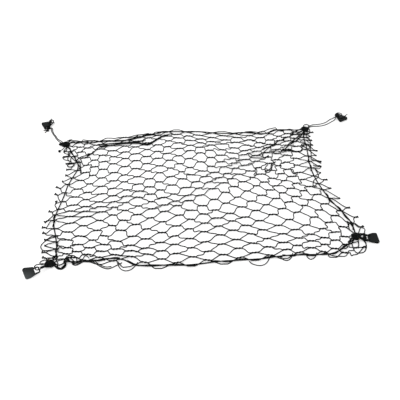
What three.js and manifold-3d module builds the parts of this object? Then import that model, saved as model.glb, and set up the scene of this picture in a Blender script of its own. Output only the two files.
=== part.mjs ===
// Car dog barrier net: a black knotless net, gathered on four border cords that meet in a knot at each
// corner, where a doubled tie cord carries a flat plastic hook. The net lies slack on a floor.
// Millimetres, +Z up, +X to the right along the front edge, +Y towards the back edge.
// The origin is on the floor, under the middle of the net and its hooks.
import * as THREE from 'three';
import { mergeVertices } from 'three/addons/utils/BufferGeometryUtils.js';
import Module from 'manifold-3d';

const wasm = await Module();
wasm.setup();

// ---- Driving sizes -------------------------------------------------------------------------------

const COLUMNS = 24; // the first and the last column of joints are cut open
const ROWS = 36; // half rows, from the front edge to the back edge
const TWINE = { width: 4.0, height: 3.2 };
const JOINT = { inner: 26, border: 18 }; // where two twines run side by side, at the head of a mesh
const BORDER_CORD = 5.4;
const TIE_CORD = 4.0;
const CORD_SIDES = 8;
const CORD_PIECES = 2; // straight pieces between two crossings of a border cord
const CLEAR = 0.9; // between the net and a border cord that crosses it
const SEAT = 0.55; // between a cord or a twine and what it runs into
const COLOURS = { net: 0x14181a, cord: 0x101314, plastic: 0x1d2424 };

// ---- How the net lies ----------------------------------------------------------------------------

// Where the joints of some columns lie, from the front edge (row 0) to the back edge (row 36).
const STATION_ROWS = [0, 2, 7, 12, 17, 22, 27, 32, 36];
const STATIONS = [
  { column: 0, x: [-590, -596, -619, -630, -618, -622, -601, -641, -655],
    y: [-478, -445, -362, -280, -150, -28, 75, 190, 280] },
  { column: 1, x: [-545, -548, -565, -598, -588, -580, -556, -612, -628],
    y: [-478, -450, -362, -262, -165, -35, 95, 215, 288] },
  { column: 4, x: [-430, -432, -420, -398, -421, -429, -438, -485, -505],
    y: [-484, -457, -367, -228, -140, -14, 136, 250, 308] },
  { column: 7, x: [-262, -250, -257, -248, -251, -271, -291, -290, -285],
    y: [-505, -458, -368, -220, -94, 27, 167, 292, 352] },
  { column: 10, x: [-75, -66, -82, -68, -92, -116, -132, -142, -150],
    y: [-508, -460, -342, -197, -88, 60, 196, 322, 382] },
  { column: 13, x: [118, 118, 103, 90, 73, 31, 23, 25, 10],
    y: [-487, -440, -314, -188, -35, 68, 227, 316, 380] },
  { column: 16, x: [300, 305, 290, 260, 222, 187, 182, 210, 205],
    y: [-468, -424, -307, -169, -10, 98, 200, 306, 370] },
  { column: 19, x: [462, 476, 481, 418, 367, 352, 356, 378, 400],
    y: [-452, -405, -308, -140, -9, 122, 220, 308, 402] },
  { column: 22, x: [592, 610, 622, 560, 503, 484, 505, 508, 515],
    y: [-450, -412, -290, -122, 8, 132, 258, 336, 390] },
  { column: 23, x: [640, 652, 668, 600, 558, 548, 552, 552, 560],
    y: [-440, -405, -300, -125, 5, 130, 248, 328, 378] },
  { column: 24, x: [690, 695, 705, 662, 604, 598, 596, 592, 600],
    y: [-420, -380, -290, -150, 5, 120, 220, 318, 385] },
];

// Folds: the rows on both sides are drawn to a line through the named joint. The line climbs `lean` rows
// a column and fades out over `reach` columns. `pull` and `rise` are in millimetres.
const FOLD_WIDTH = 1.3; // half rows
const FOLDS = [
  { column: 12, row: 16.2, lean: 1.0, reach: 3.6, pull: 11, rise: 5 },
  { column: 6, row: 16.5, lean: 0.3, reach: 2.0, pull: 8, rise: 4 },
  { column: 3, row: 13.7, lean: 0.5, reach: 2.0, pull: 7, rise: 5 },
  { column: 17.5, row: 26, lean: 1.2, reach: 2.2, pull: 8, rise: 6 },
  { column: 20.5, row: 25.5, lean: 0, reach: 1.4, pull: 8, rise: 4 },
  { column: 15.5, row: 22.7, lean: 0.2, reach: 1.8, pull: 7, rise: 4 },
  { column: 12.8, row: 9.8, lean: 0.1, reach: 1.2, pull: 7, rise: 3 },
  { column: 6.5, row: 3.4, lean: 0.1, reach: 1.8, pull: 5, rise: 3 },
];

// Between which rows the front and the back cord run, from each column to the next. A level is the lower
// of the two rows. It changes by one at most, and only from an even column to an odd one.
const FRONT_LEVELS = { 4: 0, 5: 1, 6: 1, 7: 0, 20: 0, 21: 1 };
const BACK_LEVELS = { 2: 35, 3: 34, 4: 34, 5: 33, 6: 33, 7: 34, 8: 34, 9: 35, 16: 35, 17: 34, 18: 34, 19: 35 };

const THREADED = { front: [2, 21], back: [1, 21], left: [2, 34], right: [6, 34] }; // gaps, or rows at the sides

// How the front cord swings beside the front left knot: before its first crossing, and after it.
const FRONT_SWINGS = [
  [[-533, -503, 4], [-518, -510, 2.8], [-507, -504, 2.8], [-505, -490, 2.8], [-507, -478, 2.8], [-500, -470, 2.8]],
  [[-470, -486, 2.8]],
];

const SHAKE = { x: 3.5, y: 3.5, turn: 0.12 }; // unevenness of the joints' places and directions

// ---- Corners -------------------------------------------------------------------------------------

// Gathering knots. The first lobe is the one that the twines and cords of the corner run into. Each lobe
// has its middle, its half sizes and its turn in degrees.
const KNOTS = {
  back_left: [
    { x: -648, y: 264, z: 7.5, rx: 20, ry: 17, rz: 11, turn: 0 },
    { x: -665, y: 263, z: 8.5, rx: 15, ry: 8, rz: 7, turn: 178 },
  ],
  back_right: [
    { x: 567, y: 391, z: 7.5, rx: 18, ry: 17, rz: 11, turn: 0 },
    { x: 568, y: 388, z: 9.0, rx: 22, ry: 8, rz: 8, turn: 103 },
  ],
  front_left: [
    { x: -562, y: -492, z: 7.5, rx: 20, ry: 15, rz: 11, turn: 0 },
    { x: -563, y: -491, z: 9.0, rx: 20, ry: 9, rz: 8, turn: 125 },
  ],
  front_right: [
    { x: 665, y: -350, z: 7.5, rx: 17, ry: 16, rz: 11, turn: 0 },
    { x: 662, y: -349, z: 9.0, rx: 18, ry: 9, rz: 8, turn: 150 },
  ],
};
const KNOT_FOOT = 0.3; // flat underside of a knot
const KNOT_ROOM = 13; // joints of the net nearer than this to a knot are gathered into it

// Hooks: where the eye bar's outer edge lies, which way the far end points and how far the hook is rolled
// about its own length, in degrees. Three lie on their lips and one stands on its side edges.
const HOOKS = {
  back_left: { x: -768, y: 394, z: 0, yaw: 108, roll: 0 },
  back_right: { x: 757, y: 524, z: 0, yaw: -60, roll: 0 },
  front_left: { x: -591, y: -524, z: 23.3, yaw: 203, roll: -80 },
  front_right: { x: 691.5, y: -359, z: 0, yaw: 1, roll: 0 },
};

// The turn of a tie cord round the eye bar, in the hook's own frame: along it from the bar's outer edge,
// across it, and up from the middle of the plate. A cord comes straight to the bar and goes over it;
// or it comes from the side beneath the plate, rises through the slot and goes back beneath; or it
// does so and throws a loop beyond the eye; or it comes from behind the plate's upper edge.
const BAR_TURNS = {
  straight: [[-4, 0, 4.4], [2.5, 0, 4.7], [6.6, 0, 4], [8.5, 0, 0], [6.6, 0, -4], [2.5, 0, -4.7], [-4, 0, -4.4]],
  beneath: [[11.5, -15, -5.9], [11, -8, -5.2], [10, -3, -2], [8.6, -0.5, 2.8], [5.2, 0.4, 5], [0.5, 0.6, 5],
    [-3, 0.4, 2.9], [-4, 0, -1], [-2.2, -1.6, -4.4], [2.5, -6, -5.3], [4.8, -15, -5.4]],
  looped: [[9, -24, -5.8], [9.5, -15, -5.8], [10.5, -8.5, -4.5], [9.5, -5, -0.5], [6.5, -3.5, 4.2], [2, -2, 4.8],
    [-3, 0, 4.2], [-8, 4, 0], [-14, 11, -4.8], [-16, 20, -4.8], [-10, 29, -4.8], [0, 33, -4.8], [11, 29, -5.2],
    [14.5, 20, -5.9], [15, 11.5, -5.5], [15, 6, -1.5], [15.5, 2.5, 3.2], [16, -2, 5], [17.5, -9, 5],
    [20, -17, 4.8], [23, -24, 2.5], [26, -33, -4]],
  behind: [[-8, -14, -9], [0, -18, -7.5], [9, -19.5, -6.8], [15, -16, -6], [16, -10, -4.5], [14.5, -6.5, 0],
    [11.5, -5, 4.2], [5, -4, 4.9], [-1.5, -3, 4.4], [-7, -2, 1]],
};

// Tie cords: the strands on both sides of the turn, each listed from the hook to the knot.
const TIES = {
  back_left: {
    turn: 'beneath',
    first: [[-750, 409, 2.1], [-743, 401, 2.1], [-740, 387, 2.1], [-729.5, 363, 2.1], [-712.5, 337, 2.1],
      [-697, 313, 2.5], [-680, 297, 5]],
    second: [[-751, 402.5, 2.1], [-748.5, 395, 2.1], [-746, 384, 2.1], [-735, 362, 2.1], [-718, 335, 2.1],
      [-702, 310, 2.1], [-686, 291, 2.5]],
  },
  back_right: {
    turn: 'looped',
    first: [[728, 494, 2.1], [716, 487, 2.1], [690, 462, 2.1], [660, 446, 2.1], [630, 440, 2.2], [604, 430, 5]],
    second: [[734, 477, 2.1], [715, 462, 2.1], [695, 446, 2.1], [665, 430, 2.1], [632, 424, 2.1], [603, 421, 2.5]],
  },
  front_left: {
    turn: 'behind',
    first: [[-581, -511, 33], [-576.5, -506, 24], [-574, -503.5, 16]],
    second: [[-577, -520, 22], [-571.5, -512, 14], [-569, -508, 9]],
  },
  front_right: { turn: 'straight', first: [], second: [] },
};

// Tail with a ball at the back left knot, and the knot with two free ends at the back left hook.
const STOPPER = { cord: 3.6, ball: 7, way: [[-654, 238, 3], [-661, 224, 3.5], [-668, 210, 7.1]] };
const HOOK_KNOT = {
  x: -764.5, y: 381.8, z: 5.4, rx: 8, ry: 6, rz: 5.2,
  ends: [
    [[-768, 385, 5], [-777, 385.5, 3.4], [-787, 387, 2.4]],
    [[-768, 384, 4], [-772, 375, 2.8], [-776, 366, 2.4]],
  ],
};

// ---- Hook ----------------------------------------------------------------------------------------

const HOOK = {
  length: 61, eyeHalf: 15, neckHalf: 17.5, shoulderHalf: 24.5, farHalf: 23.5, // half widths towards the far end
  neck: 19, shoulder: 41, // from the eye's outer edge to the end of the neck and to the widest place
  farCorner: 9, eyeCorner: 4.5,
  wall: 3.6, barLength: 5.5, slotLength: 14.5, slotHalf: 11,
  eyeMiddle: 6.9, // height of the eye bar's middle while the lip lies flat
  height: 14.6, lipLength: 40, lipHalf: 15, // the lip narrows towards its tip
};

// ---- Helpers -------------------------------------------------------------------------------------

function material(colour, roughness) {
  return new THREE.MeshStandardMaterial({ color: colour, roughness, metalness: 0 });
}

const MATERIALS = {
  net: material(COLOURS.net, 0.8),
  cord: material(COLOURS.cord, 0.75),
  plastic: material(COLOURS.plastic, 0.45),
};

const part = new THREE.Group();

const vectors = (way) => way.map((p) => new THREE.Vector3(...p));

function add(name, geometry, finish) {
  const mesh = new THREE.Mesh(geometry, MATERIALS[finish]);
  mesh.name = name;
  part.add(mesh);
  return mesh;
}

// Smooth curve through values at uneven stations.
function through(stations, values, at) {
  const last = stations.length - 1;
  let i = 0;
  while (i < last - 1 && at > stations[i + 1]) i += 1;
  const slope = (k) => {
    const a = Math.max(k - 1, 0);
    const b = Math.min(k + 1, last);
    return (values[b] - values[a]) / (stations[b] - stations[a]);
  };
  const span = stations[i + 1] - stations[i];
  const t = (at - stations[i]) / span;
  const t2 = t * t;
  const t3 = t2 * t;
  return values[i] * (2 * t3 - 3 * t2 + 1) + slope(i) * span * (t3 - 2 * t2 + t)
    + values[i + 1] * (3 * t2 - 2 * t3) + slope(i + 1) * span * (t3 - t2);
}

// A number from -1 to 1 that belongs to a joint and stays the same on every run.
function unevenness(column, row, kind) {
  const wave = Math.sin(column * 12.9898 + row * 78.233 + kind * 37.719) * 43758.5453;
  return 2 * (wave - Math.floor(wave)) - 1;
}

function asSolid(geometry) {
  const bare = geometry.clone();
  bare.deleteAttribute('normal');
  bare.deleteAttribute('uv');
  const merged = mergeVertices(bare, 1e-4);
  return new wasm.Manifold(new wasm.Mesh({
    numProp: 3,
    vertProperties: merged.attributes.position.array,
    triVerts: new Uint32Array(merged.index.array),
  }));
}

function asGeometry(solid) {
  const mesh = solid.getMesh();
  const geometry = new THREE.BufferGeometry();
  geometry.setAttribute('position', new THREE.BufferAttribute(new Float32Array(mesh.vertProperties), 3));
  geometry.setIndex(Array.from(mesh.triVerts));
  geometry.computeVertexNormals();
  return geometry;
}

function roundSection(diameter) {
  const section = new THREE.Shape();
  for (let i = 0; i < CORD_SIDES; i += 1) {
    const angle = (i + 0.5) / CORD_SIDES * 2 * Math.PI;
    const x = Math.cos(angle) * diameter / 2;
    const y = Math.sin(angle) * diameter / 2;
    if (i === 0) section.moveTo(x, y);
    else section.lineTo(x, y);
  }
  return section;
}

// A smooth line that is divided by its points and not by its length, and stays on the floor.
class CordLine extends THREE.CatmullRomCurve3 {
  constructor(points, floor) {
    super(points, false, 'centripetal');
    this.floor = floor;
  }

  getPoint(t, target) {
    const point = super.getPoint(t, target);
    point.z = Math.max(point.z, this.floor);
    return point;
  }

  getPointAt(t, target) {
    return this.getPoint(t, target);
  }

  getTangentAt(t, target) {
    return this.getTangent(t, target);
  }
}

function tube(points, diameter, pieces) {
  return new THREE.ExtrudeGeometry(roundSection(diameter), {
    steps: (points.length - 1) * pieces,
    extrudePath: new CordLine(points, diameter / 2 + 0.05),
    bevelEnabled: false,
  });
}

function ellipsoid({ x, y, z, rx, ry, rz, turn = 0 }) {
  const ball = new THREE.SphereGeometry(1, 16, 10);
  ball.rotateX(Math.PI / 2);
  ball.scale(rx, ry, rz);
  ball.rotateZ(THREE.MathUtils.degToRad(turn));
  ball.translate(x, y, z);
  return asSolid(ball);
}

// Cuts off what lies below a height.
function standing(solid, floor) {
  return solid.trimByPlane([0, 0, 1], floor);
}

// ---- The lattice ---------------------------------------------------------------------------------

// The middle of the joint at a column and a row, before its unevenness.
function lie(column, row) {
  const columns = STATIONS.map((s) => s.column);
  const x = through(columns, STATIONS.map((s) => through(STATION_ROWS, s.x, row)), column);
  let y = through(columns, STATIONS.map((s) => through(STATION_ROWS, s.y, row)), column);
  let z = 0;
  for (const fold of FOLDS) {
    const along = (column - fold.column) / fold.reach;
    const across = (row - fold.row - fold.lean * (column - fold.column)) / FOLD_WIDTH;
    const fade = Math.exp(-along * along - across * across / 2);
    y -= fold.pull * across * fade;
    z += fold.rise * fade;
  }
  return { x, y, z };
}

// Whether the border cord runs beneath the net here, at every second pair of crossings.
const cordBeneath = (crossing) => Math.floor(crossing / 2) % 2 === 1;

const frontLevel = (gap) => FRONT_LEVELS[gap] ?? 0;
const backLevel = (gap) => BACK_LEVELS[gap] ?? ROWS - 1;
const within = (value, [first, last]) => value >= first && value <= last;

function onSideCord(column, row) {
  return (column === 1 && within(row, THREADED.left))
    || (column === COLUMNS - 1 && within(row, THREADED.right));
}

function onLongCord(row, gap) {
  return (within(gap, THREADED.front) && within(row - frontLevel(gap), [0, 1]))
    || (within(gap, THREADED.back) && within(row - backLevel(gap), [0, 1]));
}

const RAISED = BORDER_CORD + CLEAR;

// Height of one end of a joint: raised where a border cord runs beneath it.
function endHeight(column, row, side, foldHeight) {
  const gap = side > 0 ? column : column - 1;
  if (onSideCord(column, row)) return cordBeneath(row / 2) ? RAISED : 0;
  if (onLongCord(row, gap)) return cordBeneath(gap) ? RAISED : 0;
  const toBorder = Math.min(
    column - 1, COLUMNS - 1 - column, row - frontLevel(gap) - 1, backLevel(gap) - row,
  );
  return foldHeight * Math.min(1, Math.max(0, toBorder / 3));
}

// Share of a knot's half width at its widest place between two heights.
function knotShare(knot, low, high) {
  const up = (THREE.MathUtils.clamp(knot.z, low, high) - knot.z) / knot.rz;
  return Math.sqrt(Math.max(0, 1 - up * up));
}

// Distance in plan from a twine at a height to a knot.
function knotDistance(knot, x, y, z) {
  const share = Math.hypot((x - knot.x) / knot.rx, (y - knot.y) / knot.ry);
  return (share - knotShare(knot, z, z + TWINE.height)) * Math.min(knot.rx, knot.ry);
}

// The knot that gathers an end of a joint, if there is one.
function gatherer({ x, y, z }) {
  return Object.values(KNOTS).map((lobes) => lobes[0])
    .find((knot) => knotDistance(knot, x, y, z) < KNOT_ROOM);
}

const ends = new Map(); // both ends of every joint, by column, row and side
const keyOf = (column, row, side) => `${column}_${row}_${side}`;

for (let column = 0; column <= COLUMNS; column += 1) {
  for (let row = 0; row <= ROWS; row += 1) {
    if ((column + row) % 2 === 0) continue;
    const border = column <= 1 || column >= COLUMNS - 1;
    const calm = border || onLongCord(row, column) ? 0.4 : 1;
    const place = lie(column, row);
    const next = lie(Math.min(column + 0.5, COLUMNS), row);
    const before = lie(Math.max(column - 0.5, 0), row);
    const turn = Math.atan2(next.y - before.y, next.x - before.x) / 2
      + SHAKE.turn * calm * unevenness(column, row, 3);
    const x = place.x + SHAKE.x * calm * unevenness(column, row, 1);
    const y = place.y + SHAKE.y * calm * unevenness(column, row, 2);
    const half = (border ? JOINT.border : JOINT.inner) / 2;
    for (const side of [-1, 1]) {
      ends.set(keyOf(column, row, side), {
        x: x + side * half * Math.cos(turn),
        y: y + side * half * Math.sin(turn),
        z: endHeight(column, row, side, place.z),
        arms: [],
      });
    }
  }
}

// Joins two ends by a twine. Where one of them is gathered into a corner knot, the twine runs to the knot.
function join(a, b) {
  const knot = gatherer(a) ?? gatherer(b);
  if (gatherer(a) && gatherer(b)) return;
  if (!knot) {
    a.arms.push(b);
    b.arms.push(a);
    return;
  }
  const outer = gatherer(a) ? b : a;
  if (outer.arms.some((arm) => arm.knot === knot)) return;
  let near = 0;
  let far = 1;
  for (let i = 0; i < 20; i += 1) {
    const t = (near + far) / 2;
    const x = outer.x + (knot.x - outer.x) * t;
    const distance = knotDistance(knot, x, outer.y + (knot.y - outer.y) * t, outer.z);
    if (distance > SEAT) near = t;
    else far = t;
  }
  const stop = {
    x: outer.x + (knot.x - outer.x) * near,
    y: outer.y + (knot.y - outer.y) * near,
    z: outer.z, arms: [outer], knot,
  };
  outer.arms.push(stop);
  ends.set(`stop_${ends.size}`, stop);
}

for (let column = 0; column <= COLUMNS; column += 1) {
  for (let row = 0; row <= ROWS; row += 1) {
    const left = ends.get(keyOf(column, row, -1));
    const right = ends.get(keyOf(column, row, 1));
    if (!left) continue;
    join(left, right);
    for (const step of [-1, 1]) {
      const next = ends.get(keyOf(column + 1, row + step, -1));
      if (next) join(right, next);
    }
  }
}

// ---- The net as one solid ------------------------------------------------------------------------

// Every twine is a ridge with a flat foot. Its foot runs between the corners that it shares with the
// next twines at both ends, and its ridge between the ends themselves.
function netGeometry(nodes) {
  const half = TWINE.width / 2;
  const positions = [];
  const face = (...corners) => {
    for (let i = 2; i < corners.length; i += 1) {
      for (const p of [corners[0], corners[i - 1], corners[i]]) positions.push(p.x, p.y, p.z);
    }
  };
  for (const node of nodes) {
    const direction = (arm) => Math.atan2(arm.y - node.y, arm.x - node.x);
    node.arms.sort((a, b) => direction(a) - direction(b));
    const longest = 0.42 * Math.min(...node.arms.map((a) => Math.hypot(a.x - node.x, a.y - node.y)));
    node.top = { x: node.x, y: node.y, z: node.z + TWINE.height };
    if (node.arms.length === 1) {
      const angle = direction(node.arms[0]);
      node.corners = [1, -1].map((side) => ({
        x: node.x - side * Math.sin(angle) * half, y: node.y + side * Math.cos(angle) * half, z: node.z,
      }));
      continue;
    }
    node.corners = node.arms.map((arm, i) => {
      const from = direction(arm);
      let opening = direction(node.arms[(i + 1) % node.arms.length]) - from;
      if (opening <= 0) opening += 2 * Math.PI;
      const reach = Math.min(half / Math.sin(opening / 2), longest);
      const angle = from + opening / 2;
      return { x: node.x + reach * Math.cos(angle), y: node.y + reach * Math.sin(angle), z: node.z };
    });
  }
  const sides = (node, arm) => {
    const i = node.arms.indexOf(arm);
    const count = node.corners.length;
    return node.arms.length === 1
      ? { left: node.corners[0], right: node.corners[1] }
      : { left: node.corners[i], right: node.corners[(i + count - 1) % count] };
  };
  const done = new Set();
  for (const node of nodes) {
    done.add(node);
    if (node.arms.length === 1) face(node.top, node.corners[0], node.corners[1]);
    if (node.corners.length > 2) face(...[...node.corners].reverse());
    for (const arm of node.arms) {
      if (done.has(arm)) continue;
      const here = sides(node, arm);
      const there = sides(arm, node);
      face(node.top, arm.top, there.right, here.left);
      face(node.top, here.right, there.left, arm.top);
      face(here.left, there.right, there.left, here.right);
    }
  }
  const geometry = new THREE.BufferGeometry();
  geometry.setAttribute('position', new THREE.Float32BufferAttribute(positions, 3));
  geometry.computeVertexNormals();
  return geometry;
}

// Everything that hangs together with the middle of the net; what lies in the corner knots is left out.
const nodes = new Set([ends.get(keyOf(COLUMNS / 2, ROWS / 2 - 1, 1))]);
for (const node of nodes) node.arms.forEach((arm) => nodes.add(arm));
add('netting', netGeometry([...nodes]), 'net');

// ---- Border cords --------------------------------------------------------------------------------

const CORD_LOW = BORDER_CORD / 2 + 0.1;
const CORD_HIGH = TWINE.height + CLEAR + BORDER_CORD / 2;

// Where a cord crosses the twine between two ends, or nothing if a knot has swallowed it.
function crossing(a, b, index) {
  if (!nodes.has(a) || !nodes.has(b) || !a.arms.includes(b)) return [];
  return [new THREE.Vector3((a.x + b.x) / 2, (a.y + b.y) / 2, cordBeneath(index) ? CORD_LOW : CORD_HIGH)];
}

function sideCrossings(column, [first, last]) {
  const points = [];
  for (let row = first; row <= last; row += 2) {
    points.push(...crossing(ends.get(keyOf(column, row, -1)), ends.get(keyOf(column, row, 1)), row / 2));
  }
  return points;
}

function longCrossings(level, [first, last]) {
  const points = [];
  for (let gap = first; gap <= last; gap += 1) {
    const low = level(gap);
    const here = (gap + low) % 2 === 1 ? low : low + 1;
    points.push(...crossing(
      ends.get(keyOf(gap, here, 1)), ends.get(keyOf(gap + 1, 2 * low + 1 - here, -1)), gap,
    ));
  }
  return points;
}

// Where a cord meets a knot, coming from a point.
function knotFace(knot, from, diameter) {
  const dx = from.x - knot.x;
  const dy = from.y - knot.y;
  const length = Math.hypot(dx, dy);
  const width = length / Math.hypot(dx / knot.rx, dy / knot.ry);
  const reach = knotShare(knot, from.z - diameter / 2, from.z + diameter / 2) * width + SEAT;
  return new THREE.Vector3(knot.x + dx / length * reach, knot.y + dy / length * reach, from.z);
}

function borderCord(name, crossings, firstKnot, lastKnot) {
  const points = [
    knotFace(KNOTS[firstKnot][0], crossings[0], BORDER_CORD),
    ...crossings,
    knotFace(KNOTS[lastKnot][0], crossings[crossings.length - 1], BORDER_CORD),
  ];
  add(name, tube(points, BORDER_CORD, CORD_PIECES), 'cord');
}

borderCord('border_cord_left', sideCrossings(1, THREADED.left), 'front_left', 'back_left');
borderCord('border_cord_right', sideCrossings(COLUMNS - 1, THREADED.right), 'front_right', 'back_right');
const [firstCrossing, ...laterCrossings] = longCrossings(frontLevel, THREADED.front);
const [firstSwing, secondSwing] = FRONT_SWINGS.map(vectors);
const frontWay = [...firstSwing, firstCrossing, ...secondSwing, ...laterCrossings];
borderCord('border_cord_front', frontWay, 'front_left', 'front_right');
borderCord('border_cord_back', longCrossings(backLevel, THREADED.back), 'back_left', 'back_right');

// ---- Hooks, tie cords and knots ------------------------------------------------------------------

function hookOutline() {
  const { length, neck, shoulder, farCorner, eyeCorner, barLength, slotLength, slotHalf } = HOOK;
  const { eyeHalf, neckHalf, shoulderHalf, farHalf } = HOOK;
  const outline = new THREE.Shape();
  outline.absarc(eyeCorner, eyeHalf - eyeCorner, eyeCorner, Math.PI, Math.PI / 2, true);
  outline.lineTo(neck, neckHalf);
  outline.lineTo(shoulder, shoulderHalf);
  outline.absarc(length - farCorner, farHalf - farCorner, farCorner, Math.PI / 2, 0, true);
  outline.absarc(length - farCorner, farCorner - farHalf, farCorner, 0, -Math.PI / 2, true);
  outline.lineTo(shoulder, -shoulderHalf);
  outline.lineTo(neck, -neckHalf);
  outline.absarc(eyeCorner, eyeCorner - eyeHalf, eyeCorner, -Math.PI / 2, -Math.PI, true);
  outline.closePath();
  const slot = new THREE.Path();
  slot.moveTo(barLength, -slotHalf);
  slot.lineTo(barLength + slotLength, -slotHalf);
  slot.lineTo(barLength + slotLength, slotHalf);
  slot.lineTo(barLength, slotHalf);
  slot.closePath();
  outline.holes.push(slot);
  return outline;
}

// What is cut away beside the lip, on one side of it, so that it narrows towards its tip.
function besideLip(side) {
  const { length, lipLength, lipHalf, farHalf, farCorner, shoulderHalf, wall } = HOOK;
  const tip = length - lipLength;
  const curlStart = length - farCorner;
  const outline = new THREE.Shape();
  outline.moveTo(tip - 1, side * lipHalf);
  outline.lineTo(tip, side * lipHalf);
  outline.lineTo(curlStart, side * (farHalf + 0.2));
  outline.lineTo(curlStart, side * (shoulderHalf + 2));
  outline.lineTo(tip - 1, side * (shoulderHalf + 2));
  outline.closePath();
  const block = new THREE.ExtrudeGeometry(outline, { bevelEnabled: false, depth: wall + 2 });
  block.translate(0, 0, -1);
  return asSolid(block);
}

// Side view: the lip lies on the floor, curls up round the far end and comes back as the plate.
function hookProfile() {
  const { length, wall, height, lipLength, eyeMiddle } = HOOK;
  const outer = height / 2;
  const curl = length - outer;
  const profile = new THREE.Shape();
  profile.moveTo(curl + outer - lipLength, 0);
  profile.lineTo(curl, 0);
  profile.absarc(curl, outer, outer, -Math.PI / 2, Math.PI / 2, false);
  profile.lineTo(-1, eyeMiddle + wall / 2);
  profile.lineTo(-1, eyeMiddle - wall / 2);
  profile.lineTo(curl, height - wall);
  profile.absarc(curl, outer, outer - wall, Math.PI / 2, -Math.PI / 2, true);
  profile.lineTo(curl + outer - lipLength, wall);
  profile.closePath();
  return profile;
}

function hookSolid() {
  const options = { bevelEnabled: false, curveSegments: 5 };
  const plan = new THREE.ExtrudeGeometry(hookOutline(), { ...options, depth: HOOK.height + 2 });
  plan.translate(0, 0, -1);
  const side = new THREE.ExtrudeGeometry(hookProfile(), { ...options, depth: 2 * HOOK.shoulderHalf + 2 });
  side.rotateX(Math.PI / 2);
  side.translate(0, HOOK.shoulderHalf + 1, 0);
  const hook = asSolid(side).intersect(asSolid(plan));
  return asGeometry(hook.subtract(besideLip(1)).subtract(besideLip(-1)));
}

function hookPlace({ x, y, z, yaw, roll }) {
  return new THREE.Matrix4().makeTranslation(x, y, z)
    .multiply(new THREE.Matrix4().makeRotationZ(THREE.MathUtils.degToRad(yaw)))
    .multiply(new THREE.Matrix4().makeRotationX(THREE.MathUtils.degToRad(roll)));
}

// Rise of the plate towards the far end, for each millimetre along it.
const PLATE_RISE = (HOOK.height - HOOK.wall / 2 - HOOK.eyeMiddle) / (HOOK.length - HOOK.height / 2);

const hookShape = hookSolid();

for (const [corner, lobes] of Object.entries(KNOTS)) {
  const place = hookPlace(HOOKS[corner]);
  add(`hook_${corner}`, hookShape.clone().applyMatrix4(place), 'plastic');

  const tie = TIES[corner];
  const line = vectors(tie.first).reverse();
  for (const [along, across, up] of BAR_TURNS[tie.turn]) {
    const middle = HOOK.eyeMiddle + PLATE_RISE * along;
    line.push(new THREE.Vector3(along, across, middle + up).applyMatrix4(place));
  }
  line.push(...vectors(tie.second));
  line.unshift(knotFace(lobes[0], line[0], TIE_CORD));
  line.push(knotFace(lobes[0], line[line.length - 1], TIE_CORD));
  add(`tie_cord_${corner}`, tube(line, TIE_CORD, 2), 'cord');

  const knot = lobes.map(ellipsoid).reduce((sum, lobe) => sum.add(lobe));
  add(`corner_knot_${corner}`, asGeometry(standing(knot, KNOT_FOOT)), 'cord');
}

const [tailX, tailY, tailZ] = STOPPER.way[STOPPER.way.length - 1];
const tail = vectors(STOPPER.way);
tail.unshift(knotFace(KNOTS.back_left[0], tail[0], STOPPER.cord));
const stopper = asSolid(tube(tail, STOPPER.cord, 2)).add(ellipsoid({
  x: tailX, y: tailY, z: tailZ, rx: STOPPER.ball, ry: STOPPER.ball, rz: STOPPER.ball,
}));
add('stopper_tail', asGeometry(stopper), 'cord');

const hookKnot = HOOK_KNOT.ends
  .map((way) => asSolid(tube(vectors(way), TIE_CORD, 2)))
  .reduce((sum, end) => sum.add(end), ellipsoid(HOOK_KNOT));
add('hook_knot', asGeometry(standing(hookKnot, KNOT_FOOT)), 'cord');

// The tables have their own middle: move the middle of the net and its hooks over the origin. What dangles
// from them on a limp cord doesn't count.
const dangling = [...Object.keys(KNOTS).map((corner) => `tie_cord_${corner}`), 'stopper_tail', 'hook_knot'];
const bounds = new THREE.Box3();
for (const node of part.children) {
  if (!dangling.includes(node.name)) bounds.expandByObject(node, true);
}
const middle = bounds.getCenter(new THREE.Vector3());
part.position.set(-middle.x, -middle.y, -bounds.min.z);

export default part;
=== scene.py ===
"""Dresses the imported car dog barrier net: twisted twines, border cords, wound knots and moulded hooks.

The tables are in millimetres, in the frame that the part's own tables use. Everything that is made is
in metres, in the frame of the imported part.
"""
import logging
import math
from dataclasses import dataclass, field
from enum import Enum
from typing import Optional, Sequence
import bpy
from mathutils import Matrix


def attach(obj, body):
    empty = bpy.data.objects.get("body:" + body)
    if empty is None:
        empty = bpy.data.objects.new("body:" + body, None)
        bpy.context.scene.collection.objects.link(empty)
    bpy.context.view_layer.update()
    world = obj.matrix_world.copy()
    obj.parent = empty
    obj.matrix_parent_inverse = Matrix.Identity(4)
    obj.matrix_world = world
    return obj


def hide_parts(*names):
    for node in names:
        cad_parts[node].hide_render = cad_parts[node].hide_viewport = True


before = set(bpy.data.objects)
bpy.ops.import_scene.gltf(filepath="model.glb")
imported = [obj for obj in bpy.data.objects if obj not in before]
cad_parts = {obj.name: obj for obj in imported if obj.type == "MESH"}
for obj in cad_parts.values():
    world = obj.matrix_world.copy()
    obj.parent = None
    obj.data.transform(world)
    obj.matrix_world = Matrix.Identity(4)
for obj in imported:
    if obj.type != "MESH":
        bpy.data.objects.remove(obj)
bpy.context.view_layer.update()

import bmesh
import bpy
from mathutils import Matrix, Vector

Object = bpy.types.Object
Material = bpy.types.Material
Tree = bpy.types.NodeTree
Socket = bpy.types.NodeSocket
Shape = bmesh.types.BMesh
Point = tuple[float, float, float]
Colour = tuple[float, float, float]
Way = tuple[Point, ...]

LOG = logging.getLogger("barrier_net")

MM = 0.001
MIDDLE = Vector((1.157074, 16.268188, 0.0))  # moves the tables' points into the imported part's frame
CLEARANCE = 0.05  # between the floor and a strand that lies on it

# ---- Tables ------------------------------------------------------------------------------------------

STATION_ROWS = (0, 2, 7, 12, 17, 22, 27, 32, 36)
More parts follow.
